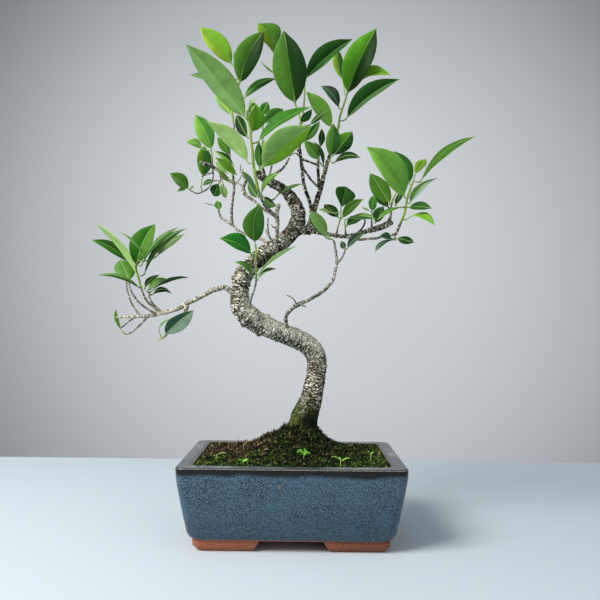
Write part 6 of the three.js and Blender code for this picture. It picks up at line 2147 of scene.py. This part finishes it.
@dataclass
class Foliage:
    """The leafy shoots, each one piece of green stems and leaves.

    columns are places across a blade from edge to edge, and rows counts the cells along it.
    opening is the share of a blade over which its petiole widens, bare is how far petioles
    keep from a shoot's foot, and splice is how far a stem starts inside its twig's end and
    where it has left it.
    """

    view: View
    columns: tuple[float, ...] = (
        -1, -0.94, -0.83, -0.66, -0.46, -0.26, -0.1, -0.04,
        0.04, 0.1, 0.26, 0.46, 0.66, 0.83, 0.94, 1,
    )  # fmt: skip
    rows: int = 22
    thickness: float = 0.5
    petiole: float = 0.62
    petiole_rows: int = 5
    opening: float = 0.12
    narrowest: float = 0.12
    rib: float = 0.1
    rib_rise: float = 0.45
    rib_groove: float = 0.12
    bare: float = 3.0
    slimmer: float = 0.8
    splice: tuple[float, float] = (0.8, 1.2)
    node_gap: float = 11.0

    def colours(self, leaf: Leaf) -> dict[tuple[bool, bool], Colour]:
        """The tones of both sides of both halves.

        Args:
            leaf: the leaf.

        Returns:
            For each (right half, side that faces away), its linear colour.
        """
        pair = leaf.tone if isinstance(leaf.tone, tuple) else (leaf.tone, leaf.tone)
        found = {}
        for right, tone in ((False, pair[0]), (True, pair[1])):
            seen = Vector(linear(tone.value)[:3])
            other, share = (Tone.MID, 0.8) if leaf.under else (Tone.PALE, 0.5)
            hidden = seen.lerp(Vector(linear(other.value)[:3]), share)
            found[right, False] = (*seen, 1.0)
            found[right, True] = (*hidden, 1.0)
        return found

    def add_leaf(
        self, work: Workpiece, leaf: Leaf, root: Vector | None, rng: random.Random
    ) -> None:
        """Adds a leaf as one rolled sheet: a round petiole that opens into a flat blade.

        Args:
            work: the shoot's piece.
            leaf: the leaf.
            root: where its petiole starts, or None if it has none.
            rng: the source of its waves.
        """
        blade = Blade(self.view, leaf)
        ring = both_sides(self.columns)
        first = self.petiole_rows if root is not None else 0
        rows = work.sheet(len(ring) - 1, first + self.rows)
        along, aside, wide, beneath = (work.layer(kind) for kind in BLADE_MARKS)
        tint, grain = work.layer(Attribute.TINT), work.layer(Attribute.GRAIN)
        tones = self.colours(leaf)
        phase, waves = rng.uniform(0, 6.28), rng.uniform(0.02, 0.05)
        shrink = min(1.0, blade.half / 5)
        for k, row in enumerate(rows):
            share = max(0.0, (k - first) / self.rows)
            share = mix(share, 0.5 - 0.5 * math.cos(math.pi * share), 0.5)
            width = max(blade.width(share), self.narrowest)
            if k < first:
                done = k / first
                control = blade.base - blade.heading * (0.5 * (blade.base - root).length)
                centre = root.lerp(control, done).lerp(control.lerp(blade.base, done), done)
            else:
                centre = blade.midrib(share)
            flat = smooth(0.0, self.opening, share)
            stalk = self.petiole * mix(0.55, 1.0, shrink)
            if share < self.opening:
                width = mix(stalk, width, flat)
            thick = mix(stalk, self.thickness / 2 * mix(0.6, 1, shrink), flat)
            thick *= mix(1, 0.5, smooth(0.9, 1, share))
            for vert, (a, top) in zip(row, ring):
                spread, normal = blade.out(a)
                lens = math.sqrt(max(0.0, 1 - a * a)) if flat < 1 else (1 - a**4) ** 0.5
                lift = top * thick * lens
                lower = (top < 0) != leaf.under
                rib = shrink * flat * (1 - share) * hill(a, self.rib)
                lift += top * (self.rib_rise if lower else -self.rib_groove) * rib
                bulge = 0.09 * width * flat * (1 - (2 * abs(a) - 1) ** 2)
                wave = waves * width * flat * a * a * math.sin(11 * share + phase + 2 * (a > 0))
                sideways = blade.level if flat == 0 else spread * math.copysign(1, a)
                point = centre + sideways * (a * width) + normal * (lift + bulge + wave)
                vert.co = point
                vert[aside] = abs(a) * width * flat
                vert[wide] = width
                vert[along] = share * blade.length
                vert[beneath] = 0.5 if abs(a) == 1 else float(lower)
                vert[tint] = tones[a > 0, top < 0]
                vert[grain] = point
        work.close_tube(rows)

    def build_shoot(
        self, name: str, shoot: Shoot, finishes: Sequence[bpy.types.Material]
    ) -> None:
        """Builds one shoot from its twig's end.

        Args:
            name: the CAD node that it stands for.
            shoot: the shoot.
            finishes: the leaves' material and the stems'.
        """
        kinds = (*LEAFY, Attribute.WOODY)
        work = Workpiece(f"leaves_{name.removesuffix('_shoot')}", kinds)
        twig = Route(self.view.stations(TWIG_PLACES[shoot.twig]))
        end = twig.point(1.0)
        way = (end - twig.point(0.98)).normalized()
        radius = twig.radius(1.0) * self.slimmer
        inside, outside = end - way * self.splice[0], end + way * self.splice[1]
        points: list[Vector] = []
        for k, places in enumerate(shoot.stems):
            start = [Station(inside, radius), Station(outside, radius)]
            route = Route((start if k == 0 else []) + self.view.stations(places))
            woody = 10.0 if k == 0 else 0.0

            def skin(spot: Spot, woody: float = woody) -> Skin:
                """A smooth skin with a node every centimetre, woody at its foot.

                Args:
                    spot: the spot.
                    woody: how long the woody foot is.

                Returns:
                    Its swell and its marks.
                """
                node = 0.14 * hill((spot.along + 4) % self.node_gap - self.node_gap / 2, 0.9)
                marks = {Attribute.WOODY: smooth(woody, 0, spot.along) if woody else 0.0}
                return Skin(1 + node + 0.05 * noise.noise(spot.flat * 0.5), marks)

            for vert in sweep(work, route, 10, 1.1, skin, (1.0, 0.5)):
                for face in vert.link_faces:
                    face.material_index = 1
            fine = [route.point(share) for share in route.evenly(1.5)]
            points += [p for p in fine if (p - end).length > self.bare] or [fine[-1]]
        rng = random.Random(f"{SEED} {name}")
        for shape in shoot.leaves:
            base = self.view.place(shape.at)
            root = min(points, key=lambda p: (p - base).length)
            self.add_leaf(work, shape, root if (root - base).length > 0.8 else None, rng)
        work.finish(finishes, [name], "foliage")

    def build(self) -> None:
        """Builds every shoot in the two finishes that they share."""
        finishes = (FigLeaf("fig_leaf").make(), GreenStem("green_stem").make())
        for name, shoot in SHOOTS.items():
            self.build_shoot(name, shoot, finishes)


# ---- the ground's small plants
@dataclass(frozen=True)
class Leaflet:
    """One leaflet: its turn round the stem, its size, how high it sits, and its own roll."""

    turn: float
    length: float
    share: float
    width: float
    roll: float = 0.0


@dataclass(frozen=True)
class Seedling:
    """A weed in the moss: where it stands, how tall it is, and its leaflets."""

    x: float
    y: float
    height: float
    leaflets: tuple[Leaflet, ...]
    root: float = 5.0
    rise: float = math.radians(35)

    def build(self, name: str, bed: MossBed, leaf: bpy.types.Material) -> None:
        """Builds the seedling.

        Args:
            name: the CAD node that it stands for.
            bed: the moss that it grows in.
            leaf: its green.
        """
        work = Workpiece(f"weed_{name.removesuffix('_seedling')}", LEAFY)
        ground = bed.height(self.x, self.y)
        foot = bed.middle + Vector((self.x, self.y, 0))
        lean = Vector((0.6, -0.4, 0))
        stations = [
            Station(foot + Vector((0, 0, ground - self.root)), 0.4),
            Station(foot + Vector((0, 0, ground)), 0.42),
            Station(foot + Vector((0, 0, ground + 0.5 * self.height)) + lean * 0.4, 0.4),
            Station(foot + Vector((0, 0, ground + self.height - 0.5)) + lean, 0.34),
        ]
        sweep(work, Route(stations), 8, 0.8, plain, (0.6, 0.5))
        tint = work.layer(Attribute.TINT)
        fresh = linear("#8fc63c")
        for vert in work.bm.verts:
            vert[tint] = fresh
        for shape in self.leaflets:
            start = foot + Vector((0, 0, ground + shape.share * (self.height - 1)))
            self.add_leaflet(work, start, shape)
        work.finish([leaf], [name], "seedling")

    def add_leaflet(self, work: Workpiece, start: Vector, shape: Leaflet) -> None:
        """Adds a leaflet as a rolled sheet that rises and droops at its tip.

        Args:
            work: the seedling's piece.
            start: where it leaves the stem.
            shape: the leaflet.
        """
        turn = math.radians(shape.turn)
        out = Vector((math.cos(turn), math.sin(turn), 0))
        roll = math.radians(shape.roll)
        beside = Vector((-math.sin(turn), math.cos(turn), 0)) * math.cos(roll)
        beside += Vector((0, 0, math.sin(roll)))
        above = out.cross(beside)
        ring = both_sides((-1, -0.6, -0.1, 0.1, 0.6, 1))
        rows = work.sheet(len(ring) - 1, 8)
        along, aside, wide, beneath = (work.layer(kind) for kind in BLADE_MARKS)
        tint = work.layer(Attribute.TINT)
        green = linear("#78c142")
        for k, row in enumerate(rows):
            share = k / (len(rows) - 1)
            width = shape.width / 2 * max(0.1, math.sin(math.pi * share**0.8) ** 0.8)
            lift = shape.length * (math.sin(self.rise) * share - 0.35 * share**3)
            centre = start + out * (shape.length * share * math.cos(self.rise * 0.6))
            centre += Vector((0, 0, lift))
            for vert, (a, top) in zip(row, ring):
                fold = above * (0.25 * abs(a) * width + top * 0.22 * (1 - a * a) ** 0.5)
                vert.co = centre + beside * (a * width) + fold
                vert[aside], vert[wide] = abs(a) * width, width + 1
                vert[along] = share * shape.length
                vert[beneath] = float(top < 0)
                vert[tint] = green
        work.close_tube(rows)


SEEDLINGS: dict[str, Seedling] = {
    "clover_seedling": Seedling(
        10.5, -44, 4.5,
        (
            Leaflet(195, 7, 1, 5.8, 55),
            Leaflet(150, 6.6, 0.9, 5.2, 50),
            Leaflet(60, 6.4, 1, 5.4, 62),
            Leaflet(0, 7, 0.5, 4.6, -50),
            Leaflet(280, 5.6, 0.5, 4.8),
        ),
    ),
    "forked_seedling": Seedling(
        44, -50, 6,
        (Leaflet(160, 9, 0.95, 1.7, 45), Leaflet(10, 11, 0.6, 1.6, 30), Leaflet(100, 5, 1, 1.4)),
    ),
    "left_seedling": Seedling(
        -71, -38, 4, (Leaflet(340, 11, 0.9, 1.6, 20), Leaflet(190, 3, 0.6, 1.4))
    ),
    "low_left_seedling": Seedling(
        -45, -50, 2.5,
        (Leaflet(170, 4.5, 1, 2.8, 40), Leaflet(15, 5.5, 1, 3.0, 45), Leaflet(80, 4, 1, 2.6, 50)),
    ),
    "right_seedling": Seedling(
        74, -30, 6, (Leaflet(130, 4.5, 1, 1.4, 40), Leaflet(40, 5, 0.9, 1.4, 40))
    ),
}  # fmt: skip


# ---- the stage
@dataclass
class Stage:
    """A pale table, a grey wall behind it, and soft light from the upper left."""

    middle: Vector
    table_back: float = 353.0
    wall_back: float = 1500.0
    reach: float = 3000.0

    def sheet(self, name: str, corners: Sequence[Point], paper: bpy.types.Material) -> None:
        """Adds a flat sheet that isn't part of the object.

        Args:
            name: its name.
            corners: its four corners, in order.
            paper: its material.
        """
        bm = bmesh.new()
        bm.faces.new([bm.verts.new(Vector(c) * MM) for c in corners])
        mesh = to_mesh(name, bm)
        mesh.materials.append(paper)
        stand(name, mesh)

    def lamp(self, name: str, at: Point, size: float, watts: float, colour: str) -> None:
        """Adds a soft square lamp that faces the plant.

        Args:
            name: its name.
            at: where it hangs, in metres.
            size: its side in metres.
            watts: its power.
            colour: its light's colour.
        """
        light = bpy.data.lights.new(name, "AREA")
        light.shape, light.size, light.energy = "SQUARE", size, watts
        light.color = linear(colour)[:3]
        holder = stand(name, light)
        aim = Vector((0, 0, 0.22)) - Vector(at)
        turned = aim.to_track_quat("-Z", "Y").to_matrix().to_4x4()
        holder.matrix_world = Matrix.Translation(at) @ turned

    def build(self) -> None:
        """Builds the table, the wall behind it, the lamps and the soft light all round."""
        far, back, wall = self.reach, self.table_back + self.middle.y, self.wall_back
        # The table's paper: painted light at the front left, painted shade away from it.
        self.sheet(
            "table",
            ((-far, -far, 0), (far, -far, 0), (far, back, 0), (-far, back, 0)),
            StagePaper("table_paper", "#d2dfe8", "#c0ced7", (-0.3, -0.35, 0), (0.1, 1.0)).make(),
        )
        # The wall's paper: painted light right of the middle, painted shade towards its edges, darkest
        # at the upper left.
        self.sheet(
            "wall",
            ((-far, wall, -far), (far, wall, -far), (far, wall, far), (-far, wall, far)),
            StagePaper("wall_paper", "#dde2e7", "#5a6166", (0.22, 1.5, 0.3), (0.25, 2.0)).make(),
        )
        self.lamp("key", (-1.35, -1.05, 1.6), 1.0, 60, "#fffaf4")
        self.lamp("fill", (1.6, -1.6, 1.0), 1.6, 4, "#fff8f0")
        world = bpy.data.worlds.new("studio")
        world.use_nodes = True
        sky = world.node_tree.nodes["Background"]
        sky.inputs["Color"].default_value = linear("#eceef2")
        sky.inputs["Strength"].default_value = 0.5
        bpy.context.scene.world = world
        bpy.context.scene.view_settings.view_transform = "Standard"


def main() -> None:
    """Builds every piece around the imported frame."""
    logging.basicConfig(level=logging.INFO, format="%(message)s")
    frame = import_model()
    low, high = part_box("pot")
    middle = (low + high) / 2 / MM
    middle.z = 0
    view = View(middle)
    view.add_camera()
    noise.seed_set(SEED)
    Pot(middle).build()
    bed = MossBed(middle, view)
    bed.build()
    Tree(view, middle).build()
    Foliage(view).build()
    weed = FigLeaf("weed_leaf").make()
    for name, seedling in SEEDLINGS.items():
        seedling.build(name, bed, weed)

    soil, plastic = PottingSoil("potting_soil").make(), MouldedMesh("moulded_mesh").make()
    dressed = {"soil": soil, "drain_mesh_left": plastic, "drain_mesh_right": plastic}
    for name, finish in dressed.items():
        materials = frame["nodes"][name].data.materials
        materials.clear()
        materials.append(finish)
    Stage(middle).build()


if __name__ == "__main__":
    main()
